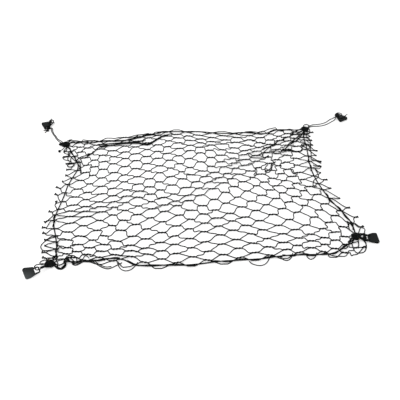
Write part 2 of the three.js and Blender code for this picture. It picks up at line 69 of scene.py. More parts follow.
# Column of joints: where its joints lie along x and y, from the front edge to the back edge.
STATIONS = {
    0: ((-590, -596, -619, -630, -618, -622, -601, -641, -655),
        (-478, -445, -362, -280, -150, -28, 75, 190, 280)),
    1: ((-545, -548, -565, -598, -588, -580, -556, -612, -628),
        (-478, -450, -362, -262, -165, -35, 95, 215, 288)),
    4: ((-430, -432, -420, -398, -421, -429, -438, -485, -505),
        (-484, -457, -367, -228, -140, -14, 136, 250, 308)),
    7: ((-262, -250, -257, -248, -251, -271, -291, -290, -285),
        (-505, -458, -368, -220, -94, 27, 167, 292, 352)),
    10: ((-75, -66, -82, -68, -92, -116, -132, -142, -150), (-508, -460, -342, -197, -88, 60, 196, 322, 382)),
    13: ((118, 118, 103, 90, 73, 31, 23, 25, 10), (-487, -440, -314, -188, -35, 68, 227, 316, 380)),
    16: ((300, 305, 290, 260, 222, 187, 182, 210, 205), (-468, -424, -307, -169, -10, 98, 200, 306, 370)),
    19: ((462, 476, 481, 418, 367, 352, 356, 378, 400), (-452, -405, -308, -140, -9, 122, 220, 308, 402)),
    22: ((592, 610, 622, 560, 503, 484, 505, 508, 515), (-450, -412, -290, -122, 8, 132, 258, 336, 390)),
    23: ((640, 652, 668, 600, 558, 548, 552, 552, 560), (-440, -405, -300, -125, 5, 130, 248, 328, 378)),
    24: ((690, 695, 705, 662, 604, 598, 596, 592, 600), (-420, -380, -290, -150, 5, 120, 220, 318, 385)),
}


@dataclass(frozen=True)
class Fold:
    """A fold of the net: its middle, how it runs, how far it reaches, and what it does to the net."""

    column: float
    row: float
    lean: float  # rows that it climbs in a column
    reach: float  # columns
    pull: float
    rise: float


FOLDS = (
    Fold(12, 16.2, 1.0, 3.6, 11, 5), Fold(6, 16.5, 0.3, 2.0, 8, 4), Fold(3, 13.7, 0.5, 2.0, 7, 5),
    Fold(17.5, 26, 1.2, 2.2, 8, 6), Fold(20.5, 25.5, 0, 1.4, 8, 4), Fold(15.5, 22.7, 0.2, 1.8, 7, 4),
    Fold(12.8, 9.8, 0.1, 1.2, 7, 3), Fold(6.5, 3.4, 0.1, 1.8, 5, 3),
)
FOLD_WIDTH = 1.3  # half rows

# The lower of the two rows that the front and back cords run between, where it isn't the outermost.
FRONT_LEVELS = {5: 1, 6: 1, 21: 1}
BACK_LEVELS = {3: 34, 4: 34, 5: 33, 6: 33, 7: 34, 8: 34, 17: 34, 18: 34}
# How the front cord swings beside the front left knot: before its first crossing, and after it.
FRONT_SWINGS = (
    ((-533, -503, 4), (-518, -510, 2.8), (-507, -504, 2.8), (-505, -490, 2.8), (-507, -478, 2.8),
     (-500, -470, 2.8)),
    ((-470, -486, 2.8),),
)
# First and last gap or row that each border cord is threaded through.
THREADED = {"front": (2, 21), "back": (1, 21), "left": (2, 34), "right": (6, 34)}

# How much of an edge joint's cut end is left at each row, and how far it leans towards the back, in
# degrees. At the other rows it is whole and straight.
CUT_LEFT = {1: (1.1, 15), 5: (0.15, 0), 7: (0.15, 0), 9: (0.8, 25), 11: (1.0, 20), 13: (1.0, -25),
            15: (1.1, 10), 17: (0.9, 65), 19: (1.1, 15), 21: (1.1, 15), 23: (0.15, 0), 25: (0.5, 0),
            29: (0.9, 0), 31: (0.8, 10), 33: (0.6, 0)}
CUT_RIGHT = {1: (0.3, 0), 3: (0.3, 20), 5: (0.5, 0), 7: (0.8, 10), 9: (0.9, 15), 11: (0.7, 15), 13: (0.1, 0),
             15: (0.15, 0), 17: (0.95, 0), 19: (0.1, 0), 21: (0.7, 0), 23: (1.15, -15), 25: (0.1, 0),
             27: (0.9, 0), 29: (0.15, 0), 31: (0.35, 20), 33: (0.15, 0)}


class Corner(Enum):
    """The net's four corners, by the CAD nodes' own endings."""

    BACK_LEFT = "back_left"
    BACK_RIGHT = "back_right"
    FRONT_LEFT = "front_left"
    FRONT_RIGHT = "front_right"


class Uneven(Enum):
    """What is uneven about a joint, or about the twine after it."""

    ALONG = 1
    ACROSS = 2
    TURN = 3
    GATHERED_ALONG = 4
    GATHERED_ACROSS = 5
    HANG = 6


class Turn(Enum):
    """How a tie cord goes round the bar of a hook's eye: along the hook, across it, up from the plate."""

    STRAIGHT = ((-4, 0, 4.4), (2.5, 0, 4.7), (6.6, 0, 4), (8.5, 0, 0), (6.6, 0, -4), (2.5, 0, -4.7),
                (-4, 0, -4.4))
    BENEATH = ((11.5, -15, -5.9), (11, -8, -5.2), (10, -3, -2), (8.6, -0.5, 2.8), (5.2, 0.4, 5),
               (0.5, 0.6, 5), (-3, 0.4, 2.9), (-4, 0, -1), (-2.2, -1.6, -4.4), (2.5, -6, -5.3),
               (4.8, -15, -5.4))
    LOOPED = ((9, -24, -5.8), (9.5, -15, -5.8), (10.5, -8.5, -4.5), (9.5, -5, -0.5), (6.5, -3.5, 4.2),
              (2, -2, 4.8), (-3, 0, 4.2), (-8, 4, 0), (-14, 11, -4.8), (-16, 20, -4.8), (-10, 29, -4.8),
              (0, 33, -4.8), (11, 29, -5.2), (14.5, 20, -5.9), (15, 11.5, -5.5), (15, 6, -1.5),
              (15.5, 2.5, 3.2), (16, -2, 5), (17.5, -9, 5), (20, -17, 4.8), (23, -24, 2.5), (26, -33, -4))
    BEHIND = ((-8, -14, -9), (0, -18, -7.5), (9, -19.5, -6.8), (15, -16, -6), (16, -10, -4.5),
              (14.5, -6.5, 0), (11.5, -5, 4.2), (5, -4, 4.9), (-1.5, -3, 4.4), (-7, -2, 1))


# ---- Helpers for lines -------------------------------------------------------------------------------


def through(stations: Sequence[float], values: Sequence[float], at: float) -> float:
    """Reads a smooth curve through values at uneven stations.

    Args:
        stations: Where the values are given, in rising order.
        values: The value at each station.
        at: Where the curve is read.

    Returns:
        The value there.
    """
    last = len(stations) - 1
    i = 0
    while i < last - 1 and at > stations[i + 1]:
        i += 1

    def slope(k: int) -> float:
        """Slope of the curve at a station."""
        a, b = max(k - 1, 0), min(k + 1, last)
        return (values[b] - values[a]) / (stations[b] - stations[a])

    span = stations[i + 1] - stations[i]
    t = (at - stations[i]) / span
    return (values[i] * (2 * t**3 - 3 * t**2 + 1) + slope(i) * span * (t**3 - 2 * t**2 + t)
            + values[i + 1] * (3 * t**2 - 2 * t**3) + slope(i + 1) * span * (t**3 - t**2))


def unevenness(column: float, row: float, kind: Uneven) -> float:
    """Gives a number from -1 to 1 that belongs to a joint and stays the same on every run.

    The large numbers only scatter the sine's values.
    """
    wave = math.sin(column * 12.9898 + row * 78.233 + kind.value * 37.719) * 43758.5453
    return 2 * (wave - math.floor(wave)) - 1


def hermite(a: Vector, out: Vector, b: Vector, into: Vector, t: float) -> Vector:
    """Gives the point at t on the curve that leaves a along out and reaches b along into."""
    return (a * (2 * t**3 - 3 * t**2 + 1) + out * (t**3 - 2 * t**2 + t)
            + b * (3 * t**2 - 2 * t**3) + into * (t**3 - t**2))


def smooth_line(points: Sequence[Sequence[float]], pieces: int, floor: float) -> list[Vector]:
    """Draws a smooth line through points, as the CAD cords are drawn.

    Args:
        points: What the line goes through.
        pieces: Straight pieces between two of the points.
        floor: Lowest height of the line.

    Returns:
        The line's points.
    """
    way = [Vector(p) for p in points]
    line = []
    for i in range(len(way) - 1):
        p1, p2 = way[i], way[i + 1]
        p0 = way[i - 1] if i else 2 * p1 - p2
        p3 = way[i + 2] if i + 2 < len(way) else 2 * p2 - p1
        d0, d1, d2 = ((b - a).length**0.5 for a, b in ((p0, p1), (p1, p2), (p2, p3)))
        out = ((p1 - p0) / d0 - (p2 - p0) / (d0 + d1) + (p2 - p1) / d1) * d1
        into = ((p2 - p1) / d1 - (p3 - p1) / (d1 + d2) + (p3 - p2) / d2) * d1
        line += [hermite(p1, out, p2, into, k / pieces) for k in range(pieces)]
    line.append(way[-1])
    for point in line:
        point.z = max(point.z, floor)
    return line


def placed(point: Sequence[float]) -> Vector:
    """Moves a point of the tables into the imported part's frame, in metres."""
    return (Vector(point) + MIDDLE) * MM


def line_length(points: Sequence[Vector]) -> float:
    """Adds up the pieces of a line."""
    return sum((b - a).length for a, b in zip(points, points[1:]))


# ---- Helpers for meshes ------------------------------------------------------------------------------


@dataclass
class Strand:
    """A round twine or cord along a line, in the tables' frame."""

    line: list[Vector]
    radius: float
    swell: Optional[list[float]] = None  # share of the radius at each point


def add_object(name: str, data: bpy.types.ID) -> Object:
    """Adds an object with this data to the scene.

    Args:
        name: Its name.
        data: Its mesh, curve, lamp or camera.

    Returns:
        The object.
    """
    added = bpy.data.objects.new(name, data)
    bpy.context.scene.collection.objects.link(added)
    return added


def strands_mesh(name: str, strands: Sequence[Strand], roundness: int) -> Object:
    """Makes one mesh of round strands. Its UV map runs along a strand in centimetres, and once round it.

    Args:
        name: The object's name.
        strands: The strands.
        roundness: Bevel resolution of the curve. A ring has four vertices and two more for each step.

    Returns:
        The new object, with its place in its mesh.
    """
    curve = bpy.data.curves.new(name, "CURVE")
    curve.dimensions = "3D"
    curve.bevel_depth = MM
    curve.bevel_resolution = roundness
    for strand in strands:
        spline = curve.splines.new("POLY")
        spline.points.add(len(strand.line) - 1)
        for i, (point, target) in enumerate(zip(strand.line, spline.points)):
            target.co = (*placed(point), 1.0)
            target.radius = strand.radius * (strand.swell[i] if strand.swell else 1.0)
    maker = add_object(name, curve)
    bpy.context.view_layer.update()
    mesh = bpy.data.meshes.new_from_object(maker.evaluated_get(bpy.context.evaluated_depsgraph_get()))
    bpy.data.objects.remove(maker)
    mesh.name = name
    shape = bmesh.new()
    shape.from_mesh(mesh)
    bmesh.ops.holes_fill(shape, edges=shape.edges, sides=0)
    shape.to_mesh(mesh)
    shape.free()
    lay_uv(mesh, strands, 4 + 2 * roundness)
    mesh.shade_smooth()
    return add_object(name, mesh)


def lay_uv(mesh: bpy.types.Mesh, strands: Sequence[Strand], ring: int) -> None:
    """Writes the UV map of round strands: along in centimetres and once round.

    Args:
        mesh: The mesh, with its rings of vertices in the strands' order.
        strands: The strands that it was made from.
        ring: Vertices in a ring.
    """
    along: list[float] = []
    for strand in strands:
        run = 0.0
        along.append(run)
        for a, b in zip(strand.line, strand.line[1:]):
            run += (b - a).length / 10
            along.append(run)
    if len(mesh.vertices) != len(along) * ring:
        raise ValueError(f"{mesh.name}: {len(mesh.vertices)} vertices and {len(along)} rings of {ring}")
    while mesh.uv_layers:
        mesh.uv_layers.remove(mesh.uv_layers[0])
    layer = mesh.uv_layers.new(name="strand")
    for polygon in mesh.polygons:
        places = [mesh.loops[i].vertex_index % ring for i in polygon.loop_indices]
        wraps = 0 in places and ring - 1 in places and len(places) == 4
        for i, place in zip(polygon.loop_indices, places):
            around = 1.0 if wraps and place == 0 else place / ring
            layer.data[i].uv = (along[mesh.loops[i].vertex_index // ring], around)


def strand_along(way: Sequence[Sequence[float]], radius: float, pieces: int = 5) -> Strand:
    """Draws a strand along its way, no lower than the floor lets it lie."""
    return Strand(smooth_line(way, pieces, radius + CLEARANCE), radius)


def mesh_object(name: str, shape: Shape) -> Object:
    """Turns a finished bmesh into an object of the scene.

    Args:
        name: The object's name.
        shape: The bmesh, which is freed.

    Returns:
        The object.
    """
    mesh = bpy.data.meshes.new(name)
    shape.to_mesh(mesh)
    shape.free()
    mesh.shade_smooth()
    return add_object(name, mesh)


def dress(piece: Object, material: Material, slot: str, *nodes: str) -> Object:
    """Gives a piece its material and body, and hides the CAD nodes that it stands for.

    Args:
        piece: The piece.
        material: Its material.
        slot: Not used.
        nodes: The CAD nodes that it replaces.

    Returns:
        The piece.
    """
    piece.data.materials.clear()
    piece.data.materials.append(material)
    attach(piece, "root")
    if nodes:
        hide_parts(*nodes)
    LOG.info("%s: %d faces", piece.name, len(piece.data.polygons))
    return piece


def strand_piece(name: str, strands: Sequence[Strand], roundness: int, material: Material,
                 slot: str, node: str) -> Object:
    """Makes one piece of round strands and dresses it."""
    return dress(strands_mesh(name, strands, roundness), material, slot, node)


def declare_cord(piece: Object, line: Sequence[Vector]) -> None:
    """Reports how long a limp, loose cord piece is drawn along its line.

    Args:
        piece: The piece.
        line: The line that it follows, in millimetres.
    """
    LOG.info("%s is %.0f mm long", piece.name, line_length(line))


# ---- Shared shader effects ---------------------------------------------------------------------------


def new_group(name: str, inputs: dict[str, float], outputs: dict[str, str]) -> Tree:
    """Starts a shader node group.

    Args:
        name: The group's name.
        inputs: Float inputs and their values.
        outputs: Outputs and their socket types.

    Returns:
        The group, with its input and output nodes in it.
    """
    group = bpy.data.node_groups.new(name, "ShaderNodeTree")
    for label, value in inputs.items():
        socket = group.interface.new_socket(name=label, in_out="INPUT", socket_type="NodeSocketFloat")
        socket.default_value = value
    for label, kind in outputs.items():
        group.interface.new_socket(name=label, in_out="OUTPUT", socket_type=kind)
    group.nodes.new("NodeGroupInput").name = "in"
    group.nodes.new("NodeGroupOutput").name = "out"
    return group


def feed(tree: Tree, value: object, socket: Socket) -> None:
    """Links a socket to the value where that is a socket too, and otherwise sets it.

    Args:
        tree: Where the socket is.
        value: The value, or the socket that gives it.
        socket: The socket that takes it.
    """
    if isinstance(value, Socket):
        tree.links.new(value, socket)
    else:
        socket.default_value = value


def maths(tree: Tree, operation: str, *values: object) -> Socket:
    """Adds a Math node.

    Args:
        tree: Where it goes.
        operation: What it does.
        values: Its inputs, sockets or numbers.

    Returns:
        Its output.
    """
    node = tree.nodes.new("ShaderNodeMath")
    node.operation = operation
    for value, socket in zip(values, node.inputs):
        feed(tree, value, socket)
    return node.outputs[0]


def strand_group() -> Tree:
    """Makes the relief of a plaited strand from its UV map.

    Returns:
        The group. Pitch is in centimetres, and Plies counts the yarns round the strand.
    """
    group = new_group("strand relief", {"Pitch": 0.6, "Plies": 2.0}, {"Height": "NodeSocketFloat"})
    given = group.nodes["in"].outputs
    uv = group.nodes.new("ShaderNodeUVMap")
    uv.uv_map = "strand"
    split = group.nodes.new("ShaderNodeSeparateXYZ")
    group.links.new(uv.outputs["UV"], split.inputs[0])
    turns = maths(group, "DIVIDE", split.outputs["X"], given["Pitch"])
    round_it = maths(group, "MULTIPLY", split.outputs["Y"], given["Plies"])
    ridges = []
    for sense in ("ADD", "SUBTRACT"):
        phase = maths(group, "MULTIPLY", maths(group, sense, turns, round_it), math.pi)
        ridges.append(maths(group, "ABSOLUTE", maths(group, "SINE", phase)))
    group.links.new(maths(group, "MAXIMUM", *ridges), group.nodes["out"].inputs["Height"])
    return group


def dust_group() -> Tree:
    """Makes patchy dust and fine grain from Object coordinates.

    Returns:
        The group, with Dust as a mask and Grain as a height.
    """
    group = new_group("dust and grain", {"Patch": 18.0, "Fine": 900.0, "Amount": 0.5},
                      {"Dust": "NodeSocketFloat", "Grain": "NodeSocketFloat"})
    given = group.nodes["in"].outputs
    place = group.nodes.new("ShaderNodeTexCoord")
    noises = []
    for scale, detail in (("Patch", 4.0), ("Fine", 2.0)):
        noise = group.nodes.new("ShaderNodeTexNoise")
        noise.inputs["Detail"].default_value = detail
        group.links.new(place.outputs["Object"], noise.inputs["Vector"])
        group.links.new(given[scale], noise.inputs["Scale"])
        noises.append(noise.outputs["Fac"])
    patch = maths(group, "MULTIPLY", maths(group, "SMOOTH_MIN", noises[0], 0.7, 0.1), noises[1])
    group.links.new(maths(group, "MULTIPLY", patch, given["Amount"]), group.nodes["out"].inputs["Dust"])
    group.links.new(noises[1], group.nodes["out"].inputs["Grain"])
    return group


class Effects:
    """The shader groups that several finishes share, made once."""

    def __init__(self) -> None:
        """Makes the groups."""
        self.strand = strand_group()
        self.dust = dust_group()


def start_material(name: str) -> tuple[Material, Tree, bpy.types.ShaderNode]:
    """Starts a material with a Principled shader.

    Args:
        name: Its name.

    Returns:
        The material, its node tree and its shader.
    """
    material = bpy.data.materials.new(name)
    material.use_nodes = True
    return material, material.node_tree, material.node_tree.nodes["Principled BSDF"]


def add_group(tree: Tree, group: Tree, **values: float) -> bpy.types.ShaderNode:
    """Places a shared effect in a material with its own values.

    Args:
        tree: The material's nodes.
        group: The effect.
        values: The effect's inputs by name.

    Returns:
        The effect's node.
    """
    node = tree.nodes.new("ShaderNodeGroup")
    node.node_tree = group
    for label, value in values.items():
        node.inputs[label].default_value = value
    return node


def mix_colour(tree: Tree, factor: Socket, a: object, b: Colour) -> Socket:
    """Mixes two colours by a mask.

    Args:
        tree: The material's nodes.
        factor: The mask.
        a: The colour where the mask is 0, or the socket that gives it.
        b: The colour where the mask is 1.

    Returns:
        The mixed colour.
    """
    mix = tree.nodes.new("ShaderNodeMix")
    mix.data_type = "RGBA"
    tree.links.new(factor, mix.inputs["Factor"])
    feed(tree, a if isinstance(a, Socket) else (*a, 1.0), mix.inputs["A"])
    feed(tree, (*b, 1.0), mix.inputs["B"])
    return mix.outputs["Result"]


def add_relief(tree: Tree, shader: bpy.types.ShaderNode, height: Socket, depth: float,
               strength: float = 1.0) -> None:
    """Gives a shader a relief.

    Args:
        tree: The material's nodes.
        shader: The shader.
        height: The relief's height.
        depth: Its depth in millimetres.
        strength: How much of it shows.
    """
    bump = tree.nodes.new("ShaderNodeBump")
    bump.inputs["Distance"].default_value = depth * MM
    bump.inputs["Strength"].default_value = strength
    tree.links.new(height, bump.inputs["Height"])
    tree.links.new(bump.outputs["Normal"], shader.inputs["Normal"])


@dataclass(frozen=True)
class StrandFinish:
    """Finish of a twine or cord: black yarn with dusty highlights in its plait."""

    name: str
    colour: Colour
    dusty: Colour
    pitch: float
    plies: float
    relief: float
    roughness: float = 0.56
    grain_roughness: float = 0.25
    grain_relief: float = 0.3  # share of the plait's relief
    specular: float = 0.12
    sheen: float = 0.02

    def material(self, effects: Effects) -> Material:
        """Makes the material.

        Args:
            effects: The shared shader effects.

        Returns:
            The material.
        """
        material, tree, shader = start_material(self.name)
        strand = add_group(tree, effects.strand, Pitch=self.pitch, Plies=self.plies)
        dust = add_group(tree, effects.dust, Patch=22.0, Fine=1400.0, Amount=0.55)
        mask = maths(tree, "MULTIPLY", dust.outputs["Dust"], strand.outputs["Height"])
        tree.links.new(mix_colour(tree, mask, self.colour, self.dusty), shader.inputs["Base Color"])
        grain = dust.outputs["Grain"]
        rough = maths(tree, "MULTIPLY_ADD", grain, self.grain_roughness, self.roughness)
        tree.links.new(rough, shader.inputs["Roughness"])
        height = maths(tree, "MULTIPLY_ADD", grain, self.grain_relief, strand.outputs["Height"])
        add_relief(tree, shader, height, self.relief)
        shader.inputs["Specular IOR Level"].default_value = self.specular
        shader.inputs["Sheen Weight"].default_value = self.sheen
        shader.inputs["Sheen Roughness"].default_value = 0.5
        return material


@dataclass(frozen=True)
class PlasticFinish:
    """Finish of the moulded hooks: dark plastic with a fine spark-eroded grain, rubbed spots and an optional
    painted highlight.
    """

    name: str
    colour: Colour
    rubbed: Colour
    roughness: float
    specular: float = 0.2
    grain_relief: float = 0.06
    dust_roughness: float = 0.3
    # The patch is a painted highlight, and its colour is the highlight's colour. The patch gives the
    # highlight's middle and reach.
    patch: Optional[tuple[float, float, float, float]] = None  # middle in the tables' frame, and reach
    highlight_colour: Colour = (0.10, 0.115, 0.115)

    def material(self, effects: Effects) -> Material:
        """Makes the material.

        Args:
            effects: The shared shader effects.

        Returns:
            The material.
        """
        material, tree, shader = start_material(self.name)
        dust = add_group(tree, effects.dust, Patch=60.0, Fine=2600.0, Amount=0.7)
        colour = mix_colour(tree, dust.outputs["Dust"], self.colour, self.rubbed)
        # Painted highlight: paler plastic round the patch, standing in for the light that the hook's face
        # catches.
        if self.patch:
            colour = self.paint_highlight(tree, colour)
        tree.links.new(colour, shader.inputs["Base Color"])
        rough = maths(tree, "MULTIPLY_ADD", dust.outputs["Dust"], self.dust_roughness, self.roughness)
        tree.links.new(rough, shader.inputs["Roughness"])
        add_relief(tree, shader, dust.outputs["Grain"], self.grain_relief, strength=0.5)
        shader.inputs["Specular IOR Level"].default_value = self.specular
        return material

    def paint_highlight(self, tree: Tree, colour: Socket) -> Socket:
        """Paints a highlight: makes the plastic paler round a place, and fades that out over the patch's
        reach.

        Args:
            tree: The material's nodes.
            colour: The plastic's colour elsewhere.

        Returns:
            The colour everywhere.
        """
        *middle, reach = self.patch
        place = tree.nodes.new("ShaderNodeTexCoord")
        apart = tree.nodes.new("ShaderNodeVectorMath")
        apart.operation = "DISTANCE"
        tree.links.new(place.outputs["Object"], apart.inputs[0])
        apart.inputs[1].default_value = placed(middle)
        near = maths(tree, "SUBTRACT", 1.0, maths(tree, "DIVIDE", apart.outputs["Value"], reach * MM))
        return mix_colour(tree, maths(tree, "SMOOTH_MAX", near, 0.0, 0.1), colour, self.highlight_colour)


# ---- Knots -------------------------------------------------------------------------------------------


@dataclass(frozen=True)
class Lobe:
    """One lump of a knot: its middle, half sizes and turn in degrees."""

    x: float
    y: float
    z: float
    rx: float
    ry: float
    rz: float
    turn: float = 0.0

    def share(self, low: float, high: float) -> float:
        """Gives the share of the half width at the widest place between two heights."""
        up = (min(max(self.z, low), high) - self.z) / self.rz
        return math.sqrt(max(0.0, 1 - up * up))

    def face(self, start: Vector, diameter: float) -> Vector:
        """Finds where a cord meets the knot.

        Args:
            start: Where the cord comes from.
            diameter: Its diameter.

        Returns:
            The point, a little outside the lobe.
        """
        seat = 0.55
        away = Vector((start.x - self.x, start.y - self.y))
        width = away.length / math.hypot(away.x / self.rx, away.y / self.ry)
        reach = self.share(start.z - diameter / 2, start.z + diameter / 2) * width + seat
        step = away.normalized() * reach
        return Vector((self.x + step.x, self.y + step.y, start.z))

    def middle(self) -> Vector:
        """Gives the lobe's middle."""
        return Vector((self.x, self.y, self.z))


KNOTS = {
    Corner.BACK_LEFT: (Lobe(-648, 264, 7.5, 20, 17, 11), Lobe(-665, 263, 8.5, 15, 8, 7, 178)),
    Corner.BACK_RIGHT: (Lobe(567, 391, 7.5, 18, 17, 11), Lobe(568, 388, 9, 22, 8, 8, 103)),
    Corner.FRONT_LEFT: (Lobe(-562, -492, 7.5, 20, 15, 11), Lobe(-563, -491, 9, 20, 9, 8, 125)),
    Corner.FRONT_RIGHT: (Lobe(665, -350, 7.5, 17, 16, 11), Lobe(662, -349, 9, 18, 9, 8, 150)),
}


@dataclass
class WoundKnot:
    """A knot of cord: a soft core with the cord wound over it, lying flat on the floor."""

    cord: float = 4.2
    turns: int = 8
    points_a_turn: int = 22
    seed_tilt: float = 0.5
    waver: float = 0.14  # how far a turn wavers in and out, as a share of its reach
    waver_rate: float = 2.6
    bight: float = 0.22  # how far the loosest turns stand out, as a share of their reach
    bight_rate: float = 0.37
    bight_sharpness: int = 6
    above_floor: float = 0.15
    core_share: float = 0.76
    core_lumps: float = 0.06

    def strand(self, lobe: Lobe, seed: int) -> Strand:
        """Winds the cord over a lobe.

        Args:
            lobe: The lobe.
            seed: Makes this winding differ from the others.

        Returns:
            The winding.
        """
        radius = self.cord / 2
        spin = Matrix.Rotation(math.radians(lobe.turn), 3, "Z")
        line = []
        for i in range(self.turns * self.points_a_turn + 1):
            t = i / self.points_a_turn
            round_it = 2 * math.pi * t
            tilt = math.pi * (t / self.turns) + self.seed_tilt * seed
            loose = max(0.0, math.sin(self.bight_rate * round_it + seed)) ** self.bight_sharpness
            out = 1 + self.waver * math.sin(self.waver_rate * round_it + seed) + self.bight * loose
            direction = Matrix.Rotation(tilt, 3, "X") @ Vector((math.cos(round_it), math.sin(round_it), 0))
            reach = Vector((direction.x * (lobe.rx - radius), direction.y * (lobe.ry - radius),
                            direction.z * (lobe.rz - radius)))
            point = lobe.middle() + spin @ (reach * out)
            point.z = max(point.z, radius + self.above_floor)
            line.append(point)
        return Strand(line, radius)

    def core(self, shape: Shape, lobe: Lobe) -> None:
        """Adds a lobe's lumpy core to a bmesh.

        Args:
            shape: The bmesh.
            lobe: The lobe.
        """
        lowest = 0.5
        spin = Matrix.Rotation(math.radians(lobe.turn), 3, "Z")
        for vert in bmesh.ops.create_icosphere(shape, subdivisions=3, radius=1.0)["verts"]:
            x, y, z = vert.co
            lump = self.core_share + self.core_lumps * math.sin(7 * x + 3 * y) * math.cos(6 * z)
            out = Vector((x * lobe.rx * lump, y * lobe.ry * lump, z * lobe.rz * lump))
            point = lobe.middle() + spin @ out
            point.z = max(point.z, lowest)
            vert.co = placed(point)


# ---- The net -----------------------------------------------------------------------------------------


@dataclass
class Run:
    """A twine's run through a joint, and the unit vectors along which it leaves and reaches a free one."""

    line: list[Vector]
    out: Optional[Vector] = None
    into: Optional[Vector] = None


@dataclass
class NetPanel:
    """The hexagonal netting: where its joints lie, and the twines that run through them."""

    columns: int = 24
    rows: int = 36
    radius: float = 2.25
    inner_joint: float = 26.0
    border_joint: float = 18.0
    raised: float = 6.3  # foot of the net where a border cord runs beneath it
    side: float = 42.0  # twine between two joints
    knot_room: float = 13.0
    knot_height: float = 3.2  # of the net, where its distance from a knot is measured
    gathered: tuple[float, float] = (6.0, 5.0)  # how far the gathered twines spread in a knot
    shake: float = 3.5
    shake_turn: float = 0.12
    calm: float = 0.4  # share of the unevenness that is left beside a cord
    fold_fade: float = 3  # joints over which a fold sinks to a border cord
    pair: float = 0.8  # of a twine's radius, from a joint's middle line to its two twines
    splay: tuple[float, float] = (3.0, 0.9)  # of the last two points of a cut end
    splay_back: float = 1.2
    shortest_splayed: float = 6.0
    spread: float = 0.35  # radians between a joint and the twines that leave it
    stiffness: float = 0.75
    most_bow: float = 9.0
    bow_share: float = 0.8
    wave: float = 2.4
    bow_wave: float = 0.45
    wave_rate: float = 9.0
    wave_phase: float = 1.0
    edge_slack: float = 0.4
    rumple_middle: tuple[float, float] = (17.5, 24)  # column and row
    rumple_reach: tuple[float, float] = (3.5, 6)
    rumple_slack: float = 0.8
    end_swell: tuple[float, float] = (1.45, 1.25)  # of the first two points of a cut end
    bar_steps: int = 8
    leg_steps: int = 6
    ends: dict[tuple[int, int, int], Vector] = field(default_factory=dict)

    def __post_init__(self) -> None:
        """Works out both ends of every joint."""
        for column in range(self.columns + 1):
            for row in range(self.rows + 1):
                if (column + row) % 2:
                    self.place_joint(column, row)

    @staticmethod
    def lie(column: float, row: float) -> Vector:
        """Finds where a joint lies, before its unevenness.

        Args:
            column: The joint's column.
            row: The joint's row.

        Returns:
            The joint's middle.
        """
        columns = list(STATIONS)
        x = through(columns, [through(STATION_ROWS, xs, row) for xs, _ in STATIONS.values()], column)
        y = through(columns, [through(STATION_ROWS, ys, row) for _, ys in STATIONS.values()], column)
        z = 0.0
        for fold in FOLDS:
            along = (column - fold.column) / fold.reach
            across = (row - fold.row - fold.lean * (column - fold.column)) / FOLD_WIDTH
            fade = math.exp(-along * along - across * across / 2)
            y -= fold.pull * across * fade
            z += fold.rise * fade
        return Vector((x, y, z))

    @staticmethod
    def cord_beneath(crossing: int) -> bool:
        """Tells whether the border cord runs beneath the net at a crossing."""
        return crossing // 2 % 2 == 1

    @staticmethod
    def front_level(gap: int) -> int:
        """Gives the lower of the two rows that the front cord runs between."""
        return FRONT_LEVELS.get(gap, 0)

    def back_level(self, gap: int) -> int:
        """Gives the lower of the two rows that the back cord runs between."""
        return BACK_LEVELS.get(gap, self.rows - 1)

    def on_side_cord(self, column: int, row: int) -> bool:
        """Tells whether a side cord crosses this joint."""
        sides = {1: THREADED["left"], self.columns - 1: THREADED["right"]}
        return column in sides and sides[column][0] <= row <= sides[column][1]

    def on_long_cord(self, row: int, gap: int) -> bool:
        """Tells whether the front or back cord crosses the twines beside this joint."""
        front, back = THREADED["front"], THREADED["back"]
        return ((front[0] <= gap <= front[1] and 0 <= row - self.front_level(gap) <= 1)
                or (back[0] <= gap <= back[1] and 0 <= row - self.back_level(gap) <= 1))

    def end_height(self, column: int, row: int, side: int, fold_height: float) -> float:
        """Finds how high the foot of one end of a joint lies.

        Args:
            column: The joint's column.
            row: The joint's row.
            side: -1 for its left end and 1 for its right end.
            fold_height: How high the fold there lifts the net.

        Returns:
            The height.
        """
        gap = column if side > 0 else column - 1
        if self.on_side_cord(column, row):
            return self.raised if self.cord_beneath(row // 2) else 0.0
        if self.on_long_cord(row, gap):
            return self.raised if self.cord_beneath(gap) else 0.0
        to_border = min(column - 1, self.columns - 1 - column, row - self.front_level(gap) - 1,
                        self.back_level(gap) - row)
        return fold_height * min(1.0, max(0.0, to_border / self.fold_fade))

    def place_joint(self, column: int, row: int) -> None:
        """Works out both ends of one joint.

        Args:
            column: The joint's column.
            row: The joint's row.
        """
        border = column <= 1 or column >= self.columns - 1
        calm = self.calm if border or self.on_long_cord(row, column) else 1.0
        place = self.lie(column, row)
        after = self.lie(min(column + 0.5, self.columns), row)
        before = self.lie(max(column - 0.5, 0), row)
        turn = (math.atan2(after.y - before.y, after.x - before.x) / 2
                + self.shake_turn * calm * unevenness(column, row, Uneven.TURN))
        middle = Vector((place.x + self.shake * calm * unevenness(column, row, Uneven.ALONG),
                         place.y + self.shake * calm * unevenness(column, row, Uneven.ACROSS), 0))
        half = (self.border_joint if border else self.inner_joint) / 2
        for side in (-1, 1):
            step = Vector((math.cos(turn), math.sin(turn), 0)) * side * half
            height = self.end_height(column, row, side, place.z)
            self.ends[column, row, side] = middle + step + Vector((0, 0, height))
        if column in (0, self.columns):
            self.cut_end(column, row, -1 if column == 0 else 1)

    def cut_end(self, column: int, row: int, side: int) -> None:
        """Leaves as much of an edge joint's outer end as its table says.

        Args:
            column: The joint's column.
            row: The joint's row.
            side: -1 at the left edge and 1 at the right edge.
        """
        share, lean = (CUT_LEFT if side < 0 else CUT_RIGHT).get(row, (1.0, 0))
        inner, outer = self.ends[column, row, -side], self.ends[column, row, side]
        turned = Matrix.Rotation(math.radians(lean * side), 3, "Z") @ (outer - inner)
        self.ends[column, row, side] = inner + turned * share

    def gatherer(self, point: Vector) -> Optional[Lobe]:
        """Finds the knot that gathers an end of a joint.

        Args:
            point: The end of the joint.

        Returns:
            The knot, or None.
        """
        for lobes in KNOTS.values():
            knot = lobes[0]
            share = math.hypot((point.x - knot.x) / knot.rx, (point.y - knot.y) / knot.ry)
            distance = (share - knot.share(point.z, point.z + self.knot_height)) * min(knot.rx, knot.ry)
            if distance < self.knot_room:
                return knot
        return None

